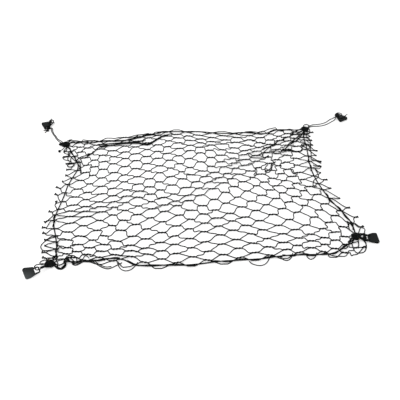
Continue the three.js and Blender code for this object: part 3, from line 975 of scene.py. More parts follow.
    def bar(self, column: int, row: int, side: int) -> list[Vector]:
        """Runs one of the two twines of a joint from its left end to its right end.

        Args:
            column: The joint's column.
            row: The joint's row.
            side: 1 for the twine that leaves towards the back, -1 for the other.

        Returns:
            The twine's points.
        """
        left, right = self.ends[column, row, -1], self.ends[column, row, 1]
        axis = (right - left).normalized()
        across = Vector((-axis.y, axis.x, 0)).normalized()
        single = row in (0, self.rows)
        flat = single or self.on_side_cord(column, row)
        gap = 0.0 if single else self.radius * self.pair
        line = []
        for i in range(self.bar_steps + 1):
            t = i / self.bar_steps
            phase = 0.0 if flat else 2 * math.pi * t
            lift = max(0.0, side * math.sin(phase)) * 2 * gap
            line.append(left.lerp(right, t) + across * side * gap * math.cos(phase)
                        + Vector((0, 0, lift + self.radius + CLEARANCE)))
        if column in (0, self.columns) and (right - left).length > self.shortest_splayed:
            outer, next_to_it = (0, 1) if column == 0 else (-1, -2)
            away = -axis if column == 0 else axis
            line[outer] += across * side * self.splay[0] - away * self.splay_back
            line[next_to_it] += across * side * self.splay[1]
        return line

    def leg(self, a: Vector, out: Vector, b: Vector, into: Vector, slack: float, bend: float) -> list[Vector]:
        """Runs a twine between two joints.

        Args:
            a: Where it starts.
            out: The way that it leaves, as a unit vector.
            b: Where it ends.
            into: The way that it arrives.
            slack: 0 for a twine that a cord crosses, 1 for a free one, more for a slacker one.
            bend: From -1 to 1, the side that its slack hangs to.

        Returns:
            The points between a and b, without both.
        """
        distance = (b - a).length
        reach = self.stiffness * distance
        spare = max(0.0, self.side / distance - 1)
        arch = 0.64  # height of a half sine over its span, for the root of its spare length
        bow = slack * min(self.most_bow, arch * distance * math.sqrt(spare))
        across = Vector((a.y - b.y, b.x - a.x, 0)).normalized()
        wave = (self.wave * slack + self.bow_wave * bow) * math.sin(self.wave_rate * bend + self.wave_phase)
        line = []
        for i in range(1, self.leg_steps):
            t = i / self.leg_steps
            swing = bow * bend * self.bow_share * math.sin(math.pi * t) + wave * math.sin(2 * math.pi * t)
            point = hermite(a, out * reach, b, into * reach, t) + across * swing
            point.z = a.z + (b.z - a.z) * t
            line.append(point)
        return line

    def run_through(self, column: int, k: int) -> Run:
        """Runs a twine through its joint at a column, or into the knot that gathers that joint.

        Args:
            column: The joint's column.
            k: The twine's number, from the front.

        Returns:
            The run.
        """
        row, side = (k, 1) if (column + k) % 2 else (k + 1, -1)
        left, right = self.ends[column, row, -1], self.ends[column, row, 1]
        line = self.bar(column, row, side)
        knots = self.gatherer(left), self.gatherer(right)
        if not any(knots):
            heading = Vector((right.x - left.x, right.y - left.y, 0)).normalized()
            out = Matrix.Rotation(self.spread * side, 3, "Z") @ heading
            return Run(line, out, Matrix.Rotation(-2 * self.spread * side, 3, "Z") @ out)
        knot = knots[0] or knots[1]
        along = unevenness(column, row, Uneven.GATHERED_ALONG) * self.gathered[0]
        across = unevenness(column, row, Uneven.GATHERED_ACROSS) * self.gathered[1]
        inside = knot.middle() + Vector((along, across, 0))
        if all(knots):
            return Run([inside])
        return Run([inside if knots[0] else line[0], inside if knots[1] else line[-1]])

    def slack(self, column: int, k: int) -> float:
        """Tells how slack a twine is between two joints.

        Args:
            column: The column before it.
            k: The twine's number, from the front.

        Returns:
            0 where a cord crosses the twine, 1 where it is free, and more where the net is rumpled.
        """
        if self.on_long_cord(k, column) or self.on_long_cord(k + 1, column):
            return 0.0
        across = (column - self.rumple_middle[0]) / self.rumple_reach[0]
        along = (k - self.rumple_middle[1]) / self.rumple_reach[1]
        rumpled = self.rumple_slack * math.exp(-across * across - along * along)
        return (self.edge_slack if column in (0, self.columns - 1) else 1.0) * (1 + rumpled)

    def twine(self, k: int) -> Strand:
        """Runs one twine from the left edge to the right edge, between rows k and k + 1.

        Args:
            k: The twine's number, from the front.

        Returns:
            The twine.
        """
        touching = 0.5
        runs = [self.run_through(column, k) for column in range(self.columns + 1)]
        line = list(runs[0].line)
        for column, (before, after) in enumerate(zip(runs, runs[1:])):
            a, b = before.line[-1], after.line[0]
            if (b - a).length <= touching:
                line += after.line[1:]
                continue
            straight = (b - a).normalized()
            line += self.leg(a, before.out or straight, b, after.into or straight,
                             self.slack(column, k), unevenness(column, k, Uneven.HANG))
            line += after.line
        swell = [1.0] * len(line)
        for i, share in enumerate(self.end_swell):
            for end in (i, -1 - i):
                swell[end] = share
                line[end].z += self.radius * (share - 1)
        return Strand(line, self.radius, swell)

    def build(self, material: Material) -> Object:
        """Makes the netting and dresses it."""
        twines = [self.twine(k) for k in range(self.rows)]
        return strand_piece("twisted_netting", twines, 1, material, "netting", "netting")


# ---- Border cords ------------------------------------------------------------------------------------


@dataclass
class BorderCords:
    """The four cords that are threaded through the edges of the net, from knot to knot."""

    net: NetPanel
    diameter: float = 5.4
    low: float = 2.8
    high: float = 6.8
    pieces: int = 6

    def crossing(self, a: Vector, b: Vector, index: int) -> list[Vector]:
        """Finds where a cord crosses a twine.

        Args:
            a: One end of the twine.
            b: Its other end.
            index: The crossing's number along the cord.

        Returns:
            The point where the cord crosses it, or nothing where a knot has gathered the twine.
        """
        if self.net.gatherer(a) or self.net.gatherer(b):
            return []
        height = self.low if self.net.cord_beneath(index) else self.high
        return [Vector(((a.x + b.x) / 2, (a.y + b.y) / 2, height))]

    def side_crossings(self, column: int, rows: tuple[int, int]) -> list[Vector]:
        """Lists the crossings of a side cord.

        Args:
            column: The column of joints that it crosses.
            rows: Its first and its last row.

        Returns:
            The crossings.
        """
        points = []
        for row in range(rows[0], rows[1] + 1, 2):
            points += self.crossing(self.net.ends[column, row, -1], self.net.ends[column, row, 1], row // 2)
        return points

    def long_crossings(self, front: bool) -> list[Vector]:
        """Lists the crossings of the front or the back cord.

        Args:
            front: True for the front cord.

        Returns:
            The crossings.
        """
        first, last = THREADED["front" if front else "back"]
        points = []
        for gap in range(first, last + 1):
            low = self.net.front_level(gap) if front else self.net.back_level(gap)
            here = low if (gap + low) % 2 else low + 1
            there = 2 * low + 1 - here
            points += self.crossing(self.net.ends[gap, here, 1], self.net.ends[gap + 1, there, -1], gap)
        return points

    def line(self, crossings: list[Vector], first: Corner, last: Corner) -> list[Vector]:
        """Draws a cord from one knot to another.

        Args:
            crossings: The crossings.
            first: Where it starts.
            last: Where it ends.

        Returns:
            The cord's line.
        """
        points = [KNOTS[first][0].face(crossings[0], self.diameter), *crossings,
                  KNOTS[last][0].face(crossings[-1], self.diameter)]
        return strand_along(points, self.diameter / 2, self.pieces).line

    def lines(self) -> dict[str, list[Vector]]:
        """Draws all four cords.

        Returns:
            Each edge's line.
        """
        left, right = THREADED["left"], THREADED["right"]
        before, after = ([Vector(p) for p in swing] for swing in FRONT_SWINGS)
        first, *others = self.long_crossings(True)
        front = [*before, first, *after, *others]
        return {
            "left": self.line(self.side_crossings(1, left), Corner.FRONT_LEFT, Corner.BACK_LEFT),
            "right": self.line(self.side_crossings(self.net.columns - 1, right),
                               Corner.FRONT_RIGHT, Corner.BACK_RIGHT),
            "front": self.line(front, Corner.FRONT_LEFT, Corner.FRONT_RIGHT),
            "back": self.line(self.long_crossings(False), Corner.BACK_LEFT, Corner.BACK_RIGHT),
        }

    def build(self, material: Material) -> None:
        """Makes the cords and dresses them."""
        for edge, line in self.lines().items():
            strand_piece(f"plaited_border_cord_{edge}", [Strand(line, self.diameter / 2)], 4,
                         material, "cord", f"border_cord_{edge}")


@dataclass(frozen=True)
class Wrap:
    """A twine wound round a border cord between two shares of its length."""

    edge: str
    start: float
    end: float
    turns: float
    phase: float = 0.0


WRAPS = (
    Wrap("front", 0.03, 0.20, 2.4), Wrap("front", 0.05, 0.19, 1.5, 3.0), Wrap("front", 0.21, 0.42, 3.2),
    Wrap("front", 0.44, 0.60, 1.6), Wrap("front", 0.63, 0.80, 2.6), Wrap("front", 0.80, 0.985, 3.0, 1.0),
    Wrap("back", 0.02, 0.12, 1.2), Wrap("back", 0.26, 0.42, 1.9), Wrap("back", 0.74, 0.985, 2.6),
    Wrap("left", 0.02, 0.16, 1.6), Wrap("left", 0.30, 0.42, 1.4), Wrap("left", 0.84, 0.99, 1.8),
    Wrap("right", 0.02, 0.25, 2.6), Wrap("right", 0.45, 0.62, 1.8), Wrap("right", 0.86, 0.98, 1.4),
)

# Turns and bights of twine and cord that lie loosely by the corners: half thickness, and the way.
LOOSE_TURNS = {
    "back_left": (
        (2.7, ((-536, 56, 5), (-546, 88, 8), (-568, 130, 10), (-562, 154, 9), (-545, 168, 9), (-513, 180, 9),
               (-498, 198, 9), (-487, 225, 9), (-472, 245, 8), (-436, 254, 7), (-400, 262, 6), (-350, 274, 6),
               (-300, 285, 6), (-262, 294, 8))),
        (2.1, ((-566, 122, 9), (-558, 134, 8), (-547, 104, 6), (-541, 80, 4), (-538, 48, 4))),
        (2.7, ((-476, 246, 5), (-440, 258, 4), (-396, 266, 5), (-350, 278, 4), (-300, 289, 5),
               (-250, 300, 8))),
        (2.6, ((-470, 240, 7), (-434, 250, 9), (-392, 260, 9), (-350, 271, 10), (-305, 281, 10),
               (-258, 292, 9))),
        (2.2, ((-340, 278, 8), (-328, 292, 7), (-317, 314, 4), (-303, 336, 3), (-288, 350, 3), (-259, 348, 3),
               (-237, 352, 3), (-215, 346, 4), (-197, 344, 5), (-171, 344, 9))),
        (2.7, ((-400, 268, 5), (-353, 272, 6), (-317, 273, 7), (-284, 272, 7), (-257, 263, 6), (-234, 262, 6),
               (-208, 288, 6), (-180, 318, 7), (-151, 340, 8), (-118, 352, 9))),
        (2.4, ((-372, 278, 5), (-330, 279, 8), (-290, 279, 8), (-262, 270, 7), (-236, 268, 7), (-212, 292, 7),
               (-186, 320, 7), (-155, 346, 7))),
        (3.3, ((-486, 262, 8), (-464, 262, 9), (-443, 265, 9), (-418, 268, 9), (-388, 272, 9),
               (-348, 275, 10), (-308, 278, 10), (-277, 284, 10))),
        (2.0, ((-634, 262, 12), (-645, 284, 10), (-638, 299, 8), (-627, 304, 6), (-634, 290, 11),
               (-638, 268, 14))),
        (2.4, ((-625, 305, 6), (-629, 292, 9), (-634, 276, 13))),
        (1.9, ((-631, 298, 7), (-612, 303, 3), (-582, 296, 3), (-552, 294, 3), (-522, 299, 3), (-496, 300, 3),
               (-474, 288, 3), (-452, 270, 4))),
        (2.1, ((-630, 242, 8), (-645, 227, 5), (-648, 209, 3), (-637, 197, 3), (-620, 191, 4), (-613, 203, 8),
               (-626, 240, 12))),
        (2.1, ((-614, 178, 4), (-634, 175, 3), (-645, 169, 3), (-634, 151, 3), (-618, 144, 3),
               (-606, 137, 4))),
        (2.1, ((-628, 240, 9), (-616, 217, 6), (-614, 186, 5), (-618, 166, 4), (-614, 146, 4),
               (-592, 128, 6))),
        (2.3, ((-616, 184, 5), (-592, 153, 6), (-568, 124, 9))),
        (2.6, ((-574, 112, 8), (-592, 117, 4), (-607, 111, 4), (-608, 100, 4), (-592, 94, 4),
               (-574, 101, 8))),
    ),
    "back_right": (
        (2.4, ((563, 402, 14), (562, 416, 10), (571, 433, 6), (584, 438, 5), (592, 427, 6), (587, 408, 12))),
        (2.1, ((578, 398, 14), (589, 392, 8), (590, 377, 4), (581, 356, 4), (561, 352, 6), (557, 368, 12))),
        (2.4, ((486, 352, 3), (520, 378, 6), (552, 397, 10))),
        (2.0, ((486, 291, 4), (510, 317, 4), (546, 358, 5), (556, 372, 9))),
        (2.0, ((478, 282, 4), (502, 292, 4), (524, 312, 5), (548, 350, 7), (560, 372, 10))),
        (2.1, ((560, 372, 9), (566, 335, 5), (580, 308, 4), (575, 264, 4), (571, 232, 4), (566, 184, 4),
               (559, 152, 8))),
        (2.8, ((528, 246, 4), (535, 258, 9), (540, 246, 9), (532, 252, 4))),
        (2.1, ((537, 260, 8), (553, 262, 4), (566, 254, 4), (566, 237, 4), (553, 236, 4), (535, 250, 9))),
        (2.1, ((530, 245, 5), (528, 222, 3), (518, 214, 3), (506, 218, 3))),
        (2.4, ((559, 151, 6), (582, 141, 3), (604, 122, 3))),
        (2.1, ((562, 108, 4), (582, 105, 4), (595, 106, 3), (596, 93, 3), (586, 82, 4), (562, 84, 5))),
        (2.1, ((566, 78, 7), (576, 36, 4), (572, 21, 4), (560, 11, 4), (548, -2, 4), (541, -40, 4),
               (556, -46, 7))),
    ),
    "front_left": (
        (2.0, ((-574, -476, 8), (-590, -470, 4), (-604, -480, 3), (-598, -491, 3), (-580, -491, 7))),
        (2.1, ((-576, -478, 10), (-571, -464, 6), (-554, -459, 5), (-543, -468, 6), (-556, -478, 12))),
        (2.1, ((-545, -452, 8), (-541, -472, 6), (-532, -490, 4), (-545, -498, 7))),
        (2.6, ((-546, -489, 8), (-527, -499, 9), (-515, -495, 9), (-505, -486, 9), (-490, -482, 9),
               (-475, -484, 9), (-458, -488, 8), (-446, -482, 8))),
        (2.4, ((-476, -490, 4), (-462, -495, 4), (-450, -489, 4), (-438, -480, 4), (-424, -473, 4),
               (-404, -470, 4), (-380, -470, 4), (-351, -470, 4))),
        (2.1, ((-545, -492, 6), (-536, -506, 3), (-526, -513, 3), (-512, -514, 3), (-501, -504, 4),
               (-498, -494, 9), (-505, -476, 10), (-507, -466, 9), (-502, -458, 6))),
        (2.5, ((-508, -480, 8), (-508, -468, 9), (-496, -459, 8), (-482, -467, 8), (-468, -482, 8))),
        (1.9, ((-507, -462, 7), (-503, -450, 4), (-490, -446, 4), (-478, -447, 4), (-467, -455, 4),
               (-459, -478, 8))),
        (1.9, ((-438, -468, 8), (-436, -455, 4), (-432, -448, 4), (-423, -451, 4), (-414, -462, 7))),
        (2.1, ((-401, -473, 7), (-391, -482, 4), (-380, -490, 3), (-366, -500, 3), (-350, -508, 3),
               (-334, -512, 3), (-318, -506, 3), (-300, -494, 3), (-281, -484, 6))),
        (1.9, ((-392, -472, 7), (-379, -486, 6), (-360, -497, 4), (-340, -503, 3), (-322, -500, 3))),
        (2.1, ((-566, -348, 4), (-592, -356, 3), (-612, -376, 3), (-620, -398, 3), (-608, -418, 3),
               (-580, -420, 4), (-552, -416, 8))),
    ),
    "front_right": (
        (2.2, ((652, -366, 8), (640, -383, 4), (640, -400, 3), (641, -417, 3), (647, -431, 3), (662, -433, 3),
               (678, -428, 3), (689, -414, 3), (695, -399, 3), (696, -382, 3), (690, -368, 4),
               (675, -356, 8))),
        (2.1, ((677, -271, 4), (690, -290, 5), (703, -304, 9), (706, -316, 14), (700, -333, 16),
               (695, -350, 17), (690, -366, 8), (697, -384, 4), (688, -408, 4))),
        (2.4, ((648, -352, 9), (640, -360, 5), (634, -368, 4), (642, -372, 4), (652, -360, 9))),
        (2.3, ((660, -340, 12), (668, -330, 8), (682, -338, 7), (676, -352, 14), (662, -350, 18))),
        (2.2, ((618, -402, 8), (606, -398, 6), (598, -404, 4), (606, -411, 4), (618, -406, 9))),
        (2.6, ((644, -262, 6), (656, -272, 4), (663, -292, 4), (665, -314, 7), (661, -334, 12))),
        (2.3, ((643, -264, 7), (646, -280, 5), (646, -296, 4), (645, -312, 5))),
        (2.8, ((624, -379, 6), (634, -371, 9), (647, -361, 14))),
        (2.3, ((601, -401, 6), (626, -388, 5), (648, -381, 7), (665, -377, 8))),
    ),
    "front": (
        (2.0, ((-300, -484, 6), (-292, -502, 3), (-280, -516, 3), (-264, -522, 3), (-248, -518, 3),
               (-236, -508, 3), (-220, -482, 6))),
        (2.0, ((216, -478, 6), (228, -488, 3), (257, -496, 3), (276, -490, 3), (290, -474, 3),
               (300, -454, 6))),
        (2.0, ((338, -452, 6), (348, -464, 3), (364, -471, 3), (378, -464, 3), (387, -450, 3),
               (391, -436, 6))),
        (2.0, ((444, -444, 6), (450, -458, 3), (460, -465, 3), (474, -458, 3), (483, -446, 3),
               (488, -434, 6))),
        (2.0, ((522, -424, 6), (534, -438, 3), (556, -448, 3), (580, -450, 3), (601, -448, 3),
               (612, -434, 6))),
    ),
    "right": (
        (2.0, ((279, 87, 4), (287, 82, 4), (291, 72, 4), (290, 60, 4), (284, 51, 4), (278, 48, 3),
               (275, 38, 3), (282, 34, 3), (290, 42, 4))),
        (3.0, ((334, 226, 5), (346, 236, 6), (360, 241, 7), (378, 252, 7), (393, 262, 6), (408, 284, 5))),
        (2.6, ((259, 191, 5), (264, 172, 6), (276, 159, 8), (299, 157, 8), (329, 158, 7), (345, 168, 6),
               (357, 179, 5))),
        (2.9, ((425, 220, 5), (440, 215, 7), (456, 213, 7), (478, 211, 7), (497, 207, 5))),
        (2.2, ((366, 126, 5), (368, 112, 4), (366, 96, 3), (358, 74, 3), (348, 58, 3), (338, 56, 3),
               (330, 72, 3), (334, 93, 3), (347, 111, 5))),
        (2.7, ((452, 72, 6), (455, 58, 6), (460, 47, 5), (473, 45, 5))),
        (2.5, ((388, 131, 5), (372, 121, 7), (362, 104, 7), (358, 84, 6), (344, 70, 5), (328, 61, 5))),
        (2.3, ((306, 182, 6), (332, 199, 7), (365, 239, 7), (399, 273, 8), (432, 299, 8), (470, 322, 9),
               (508, 344, 10), (547, 365, 11))),
        (2.2, ((367, 208, 7), (397, 213, 7), (430, 203, 7), (467, 221, 7), (505, 209, 6), (535, 229, 7))),
        (2.2, ((422, 217, 6), (443, 229, 7), (472, 260, 8), (506, 291, 9), (537, 334, 10))),
        (2.1, ((450, 241, 6), (469, 273, 7), (498, 303, 9), (533, 340, 11))),
    ),
}

# Turns of the tie cords round the two back hooks: half thickness, and the way.
TIED_TURNS = {
    Corner.BACK_LEFT: (
        (2.7, ((-764, 420, 14), (-760, 434, 16), (-757, 450, 17), (-760, 462, 17), (-766, 454, 18),
               (-763, 438, 18), (-759, 450, 19), (-762, 461, 18))),
        (2.7, ((-756, 424, 11), (-750, 440, 11), (-749, 454, 11), (-754, 466, 12), (-761, 458, 17),
               (-756, 444, 15))),
        (2.6, ((-770, 430, 17), (-756, 436, 17), (-747, 442, 12), (-744, 448, 7))),
        (1.3, ((-757, 460, 15), (-761, 470, 15), (-764, 480, 13))),
        (2.6, ((-780, 412, 12.5), (-776, 402, 13.5), (-768, 396, 14), (-760, 398, 13), (-758, 408, 12),
               (-766, 414, 12), (-774, 408, 14), (-770, 396, 15), (-764, 387, 12), (-767, 381, 8))),
        (2.6, ((-754, 418, 13), (-760, 412, 14), (-768, 404, 15), (-776, 396, 14), (-777, 386, 9))),
    ),
    Corner.FRONT_LEFT: (
        (2.7, ((-588, -524, 26.5), (-583, -518.5, 23.5), (-576, -511, 20), (-568, -503, 16.5))),
        (2.5, ((-586, -525, 22), (-580, -518, 18), (-572, -508, 13.5))),
    ),
    Corner.FRONT_RIGHT: (
        (2.7, ((690, -336, 10), (697, -341, 14), (700, -350, 16), (696, -358, 15), (690, -364, 13),
               (695, -370, 12.5), (700, -364, 14), (694, -352, 16), (688, -344, 13))),
        (2.5, ((678, -338, 13), (692, -341, 14), (704, -345, 14), (712, -348, 14.5), (720, -349, 14.5))),
        (2.3, ((676, -364, 12), (690, -369, 13), (702, -371, 13.5), (714, -372, 14))),
    ),
    Corner.BACK_RIGHT: (
        (2.4, ((772, 476, 17), (788, 490, 17.5), (800, 503, 17.5), (811, 518, 13))),
        (2.5, ((752, 522, 11), (747, 508, 13), (756, 499, 15), (767, 506, 16), (764, 519, 15), (752, 523, 13),
               (745, 512, 11))),
        (2.3, ((744, 500, 12), (756, 488, 14), (772, 480, 15), (780, 492, 15))),
    ),
}


@dataclass
class LooseTurns:
    """The net's own slack twine: wound along its border cords, and lying in bights by its corners."""

    cords: BorderCords
    radius: float = 2.0
    points_a_turn: int = 12

    def wound(self, line: Sequence[Vector], wrap: Wrap) -> Strand:
        """Winds a twine round a cord's line.

        Args:
            line: The cord's line.
            wrap: Where and how often it goes round.

        Returns:
            The twine.
        """
        first, last = (round(share * (len(line) - 1)) for share in (wrap.start, wrap.end))
        steps = int(wrap.turns * self.points_a_turn)
        away = self.cords.diameter / 2 + self.radius
        points = []
        for i in range(steps + 1):
            place = first + (last - first) * i / steps
            k = min(int(place), len(line) - 2)
            middle = line[k].lerp(line[k + 1], place - k)
            along = (line[k + 1] - line[k]).normalized()
            across = Vector((-along.y, along.x, 0)).normalized()
            angle = wrap.phase + 2 * math.pi * wrap.turns * i / steps
            point = middle + (across * math.cos(angle) + Vector((0, 0, 1)) * math.sin(angle)) * away
            point.z = max(point.z, self.radius + CLEARANCE)
            points.append(point)
        return Strand(points, self.radius)

    def build(self, material: Material, cord: Material) -> None:
        """Makes the wound and the loose turns and dresses them.

        Args:
            material: The twine's material.
            cord: The cords' material.
        """
        lines = self.cords.lines()
        for edge in lines:
            strands = [self.wound(lines[edge], wrap) for wrap in WRAPS if wrap.edge == edge]
            strand_piece(f"wound_twine_{edge}", strands, 1, material, "netting", "netting")
        for place, turns in LOOSE_TURNS.items():
            strands = [strand_along(way, radius) for radius, way in turns]
            strand_piece(f"loose_turns_{place}", strands, 2, material, "netting", "netting")
        for corner, turns in TIED_TURNS.items():
            strands = [strand_along(way, radius) for radius, way in turns]
            strand_piece(f"tied_turns_{corner.value}", strands, 3, cord, "cord", f"tie_cord_{corner.value}")


# ---- Hooks and what is tied to them ------------------------------------------------------------------


@dataclass(frozen=True)
class HookPlace:
    """Where the outer edge of a hook's eye bar lies, where its far end points, and its roll, in degrees."""

    x: float
    y: float
    z: float
    yaw: float
    roll: float = 0.0

    def matrix(self) -> Matrix:
        """Gives the hook's place in the tables' frame."""
        return (Matrix.Translation((self.x, self.y, self.z)) @ Matrix.Rotation(math.radians(self.yaw), 4, "Z")
                @ Matrix.Rotation(math.radians(self.roll), 4, "X"))


HOOKS = {
    Corner.BACK_LEFT: HookPlace(-768, 394, 0, 108),
    Corner.BACK_RIGHT: HookPlace(757, 524, 0, -60),
    Corner.FRONT_LEFT: HookPlace(-591, -524, 23.3, 203, -80),
    Corner.FRONT_RIGHT: HookPlace(691.5, -359, 0, 1),
}


@dataclass
class MouldedHook:
    """A flat J-hook of moulded plastic: a plate with an eye slot, curled under at its far end into a lip."""

    length: float = 61.0
    eye_half: float = 15.0
    neck_half: float = 17.5
    shoulder_half: float = 24.5
    far_half: float = 23.5
    neck: float = 19.0
    shoulder: float = 41.0
    far_corner: float = 9.0
    eye_corner: float = 4.5
    wall: float = 3.6
    bar: float = 5.5
    slot_length: float = 14.5
    slot_half: float = 11.0
    eye_middle: float = 6.9
    height: float = 14.6
    lip: float = 40.0
    lip_half: float = 15.0
    lip_corner: float = 2.5
    edge_round: float = 0.9
    curl_steps: int = 12

    @property
    def curl(self) -> float:
        """Gives how far along the hook its far end starts to curl."""
        return self.length - self.height / 2

    @property
    def rise(self) -> float:
        """Gives the rise of the plate for each millimetre along it."""
        return (self.height - self.wall / 2 - self.eye_middle) / self.curl

    def half_width(self, x: float) -> float:
        """Finds how wide the plate is.

        Args:
            x: The distance.

        Returns:
            Half the width.
        """
        if x < self.eye_corner:
            inside = self.eye_corner - x
            return self.eye_half - self.eye_corner + math.sqrt(max(0.0, self.eye_corner**2 - inside**2))
        if x < self.neck:
            return self.eye_half + (self.neck_half - self.eye_half) * x / self.neck
        if x < self.shoulder:
            share = (x - self.neck) / (self.shoulder - self.neck)
            return self.neck_half + (self.shoulder_half - self.neck_half) * share
        start = self.length - self.far_corner
        if x < start:
            share = (x - self.shoulder) / (start - self.shoulder)
            return self.shoulder_half + (self.far_half - self.shoulder_half) * share
        inside = min(x - start, self.far_corner)
        return self.far_half - self.far_corner + math.sqrt(self.far_corner**2 - inside**2)

    def lip_width(self, x: float) -> float:
        """Finds how wide the lip is. Its tip has small round corners.

        Args:
            x: The distance along the hook.

        Returns:
            Half the width.
        """
        end, start = self.length - self.lip, self.length - self.far_corner
        share = min(max(x - end, 0.0) / (start - end), 1.0)
        widest = self.half_width(min(x, self.length))
        half = min(self.lip_half + (self.far_half - self.lip_half) * share, widest)
        corner = self.lip_corner
        inside = max(0.0, corner - (x - end))
        return half - corner + math.sqrt(corner**2 - min(inside, corner)**2)

    def profile(self) -> list[tuple[float, float]]:
        """Lists the middle line of the wall.

        Returns:
            Places along the hook and their heights, from the eye's outer edge to the lip's end.
        """
        slot_end = self.bar + self.slot_length
        flats = (0.0, 1.2, 2.9, 4.2, self.bar, 9.0, 13.0, 16.5, slot_end, 24.0, 30.0, 36.0,
                 self.shoulder, 46.0, 50.0)
        points = [(x, self.eye_middle + self.rise * x) for x in flats]
        reach = (self.height - self.wall) / 2
        for i in range(self.curl_steps + 1):
            angle = math.pi / 2 - math.pi * i / self.curl_steps
            points.append((self.curl + reach * math.cos(angle), self.height / 2 + reach * math.sin(angle)))
        end = self.length - self.lip
        lip = (50.0, 44.0, 38.0, 32.0, 26.0, end + self.lip_corner, end + 0.8, end)
        points += [(x, self.wall / 2) for x in lip]
        return points

    def across(self) -> list[float]:
        """Lists the places across the hook: absolute inside the slot, and from 1 to 2 outside it."""
        inner = [-1.0, -0.55, 0.0, 0.55, 1.0]
        outer = [1.25, 1.55, 1.8, 2.0]
        return [-v for v in reversed(outer)] + inner + outer

    def piece(self, corner: Corner, place: HookPlace) -> Object:
        """Makes the hook at its place.

        Args:
            corner: The net's corner that it hangs on.
            place: Where it lies.

        Returns:
            The hook's object.
        """
        profile, across = self.profile(), self.across()
        shape = bmesh.new()
        grid = bmesh.ops.create_grid(shape, x_segments=len(profile) - 1, y_segments=len(across) - 1, size=1.0)
        for vert in grid["verts"]:
            i = round((vert.co.x + 1) / 2 * (len(profile) - 1))
            j = round((vert.co.y + 1) / 2 * (len(across) - 1))
            x, z = profile[i]
            half = self.lip_width(x) if z < self.height / 2 else self.half_width(min(x, self.length))
            share = across[j]
            y = share * self.slot_half if abs(share) <= 1 else math.copysign(
                self.slot_half + (abs(share) - 1) * (half - self.slot_half), share)
            vert.co = (x, y, z)
        slot_faces = [face for face in shape.faces if self.in_slot(face.calc_center_median())]
        bmesh.ops.delete(shape, geom=slot_faces, context="FACES_ONLY")
        bmesh.ops.recalc_face_normals(shape, faces=shape.faces)
        bmesh.ops.transform(shape, matrix=self.to_metres(place), verts=shape.verts)
        piece = mesh_object(f"moulded_hook_{corner.value}", shape)
        wall = piece.modifiers.new("wall", "SOLIDIFY")
        wall.thickness = self.wall * MM
        wall.offset = 0.0
        edges = piece.modifiers.new("edges", "BEVEL")
        edges.width = self.edge_round * MM
        edges.segments = 3
        edges.limit_method = "ANGLE"
        edges.angle_limit = math.radians(50)
        return piece

    def in_slot(self, point: Vector) -> bool:
        """Tells whether a place on the flat plate lies in the eye slot."""
        return (self.bar < point.x < self.bar + self.slot_length and abs(point.y) < self.slot_half
                and point.z > self.wall)

    @staticmethod
    def to_metres(place: HookPlace) -> Matrix:
        """Gives the matrix from the hook's own millimetres to its place in metres."""
        return Matrix.Scale(MM, 4) @ Matrix.Translation(MIDDLE) @ place.matrix()


@dataclass(frozen=True)
class TieWay:
    """A tie cord's way: its turn round the eye bar, and both strands from the hook to the knot."""

    turn: Turn
    first: Way
    second: Way
    length: float  # of the whole cord from knot to knot, in metres


TIES = {
    Corner.BACK_LEFT: TieWay(
        Turn.BENEATH,
        ((-750, 409, 2.1), (-743, 401, 2.1), (-740, 387, 2.1), (-729.5, 363, 2.1), (-712.5, 337, 2.1),
         (-697, 313, 2.5), (-680, 297, 5)),
        ((-751, 402.5, 2.1), (-748.5, 395, 2.1), (-746, 384, 2.1), (-735, 362, 2.1), (-718, 335, 2.1),
         (-702, 310, 2.1), (-686, 291, 2.5)), 0.39),
    Corner.BACK_RIGHT: TieWay(
        Turn.LOOPED,
        ((728, 494, 2.1), (716, 487, 2.1), (690, 462, 2.1), (660, 446, 2.1), (630, 440, 2.2), (604, 430, 5)),
        ((734, 477, 2.1), (715, 462, 2.1), (695, 446, 2.1), (665, 430, 2.1), (632, 424, 2.1),
         (603, 421, 2.5)), 0.55),
    Corner.FRONT_LEFT: TieWay(
        Turn.BEHIND, ((-581, -511, 33), (-576.5, -506, 24), (-574, -503.5, 16)),
        ((-577, -520, 22), (-571.5, -512, 14), (-569, -508, 9)), 0.125),
    Corner.FRONT_RIGHT: TieWay(Turn.STRAIGHT, (), (), 0.045),
}


@dataclass
class TieCords:
    """The doubled cords from the corner knots to the hooks."""

    hook: MouldedHook
    diameter: float = 4.4
    pieces: int = 6

    def strand(self, corner: Corner) -> Strand:
        """Draws a tie cord from its knot round the eye bar and back.

        Args:
            corner: The cord's corner.

        Returns:
            The cord.
        """
        way, knot = TIES[corner], KNOTS[corner][0]
        points = [Vector(p) for p in reversed(way.first)]
        place = HOOKS[corner].matrix()
        for along, across, up in way.turn.value:
            middle = self.hook.eye_middle + self.hook.rise * along
            points.append(place @ Vector((along, across, middle + up)))
        points += [Vector(p) for p in way.second]
        points.insert(0, knot.face(points[0], self.diameter))
        points.append(knot.face(points[-1], self.diameter))
        return strand_along(points, self.diameter / 2, self.pieces)

    def build(self, material: Material) -> None:
        for corner in Corner:
            strand = self.strand(corner)
            piece = strand_piece(f"plaited_tie_cord_{corner.value}", [strand], 3, material,
                                 "cord", f"tie_cord_{corner.value}")
            declare_cord(piece, strand.line)


# A melted tip: how far back from the cord's end each of its rings lies, and its share of the radius.
TIP_RINGS = ((3.2, 0.98), (2.2, 1.06), (0.6, 1.12), (-0.5, 0.85), (-1.1, 0.3))


def sealed_tip(line: Sequence[Vector], radius: float) -> Strand:
    """Makes the melted tip over the end of a cut cord: a short blob along the line's last piece.

    Args:
        line: The cord's line.
        radius: Radius of the tip.

    Returns:
        The tip.
    """
    end = line[-1]
    back = (line[-2] - end).normalized()
    return Strand([end + back * away for away, _ in TIP_RINGS], radius, [share for _, share in TIP_RINGS])


# The cut ends of cord at the two front knots.
CUT_ENDS = {
    Corner.FRONT_LEFT: ((-548, -484, 16), (-556, -482, 19), (-565, -482, 20)),
    Corner.FRONT_RIGHT: ((662, -356, 19), (666, -363, 17), (672, -369, 14)),
}


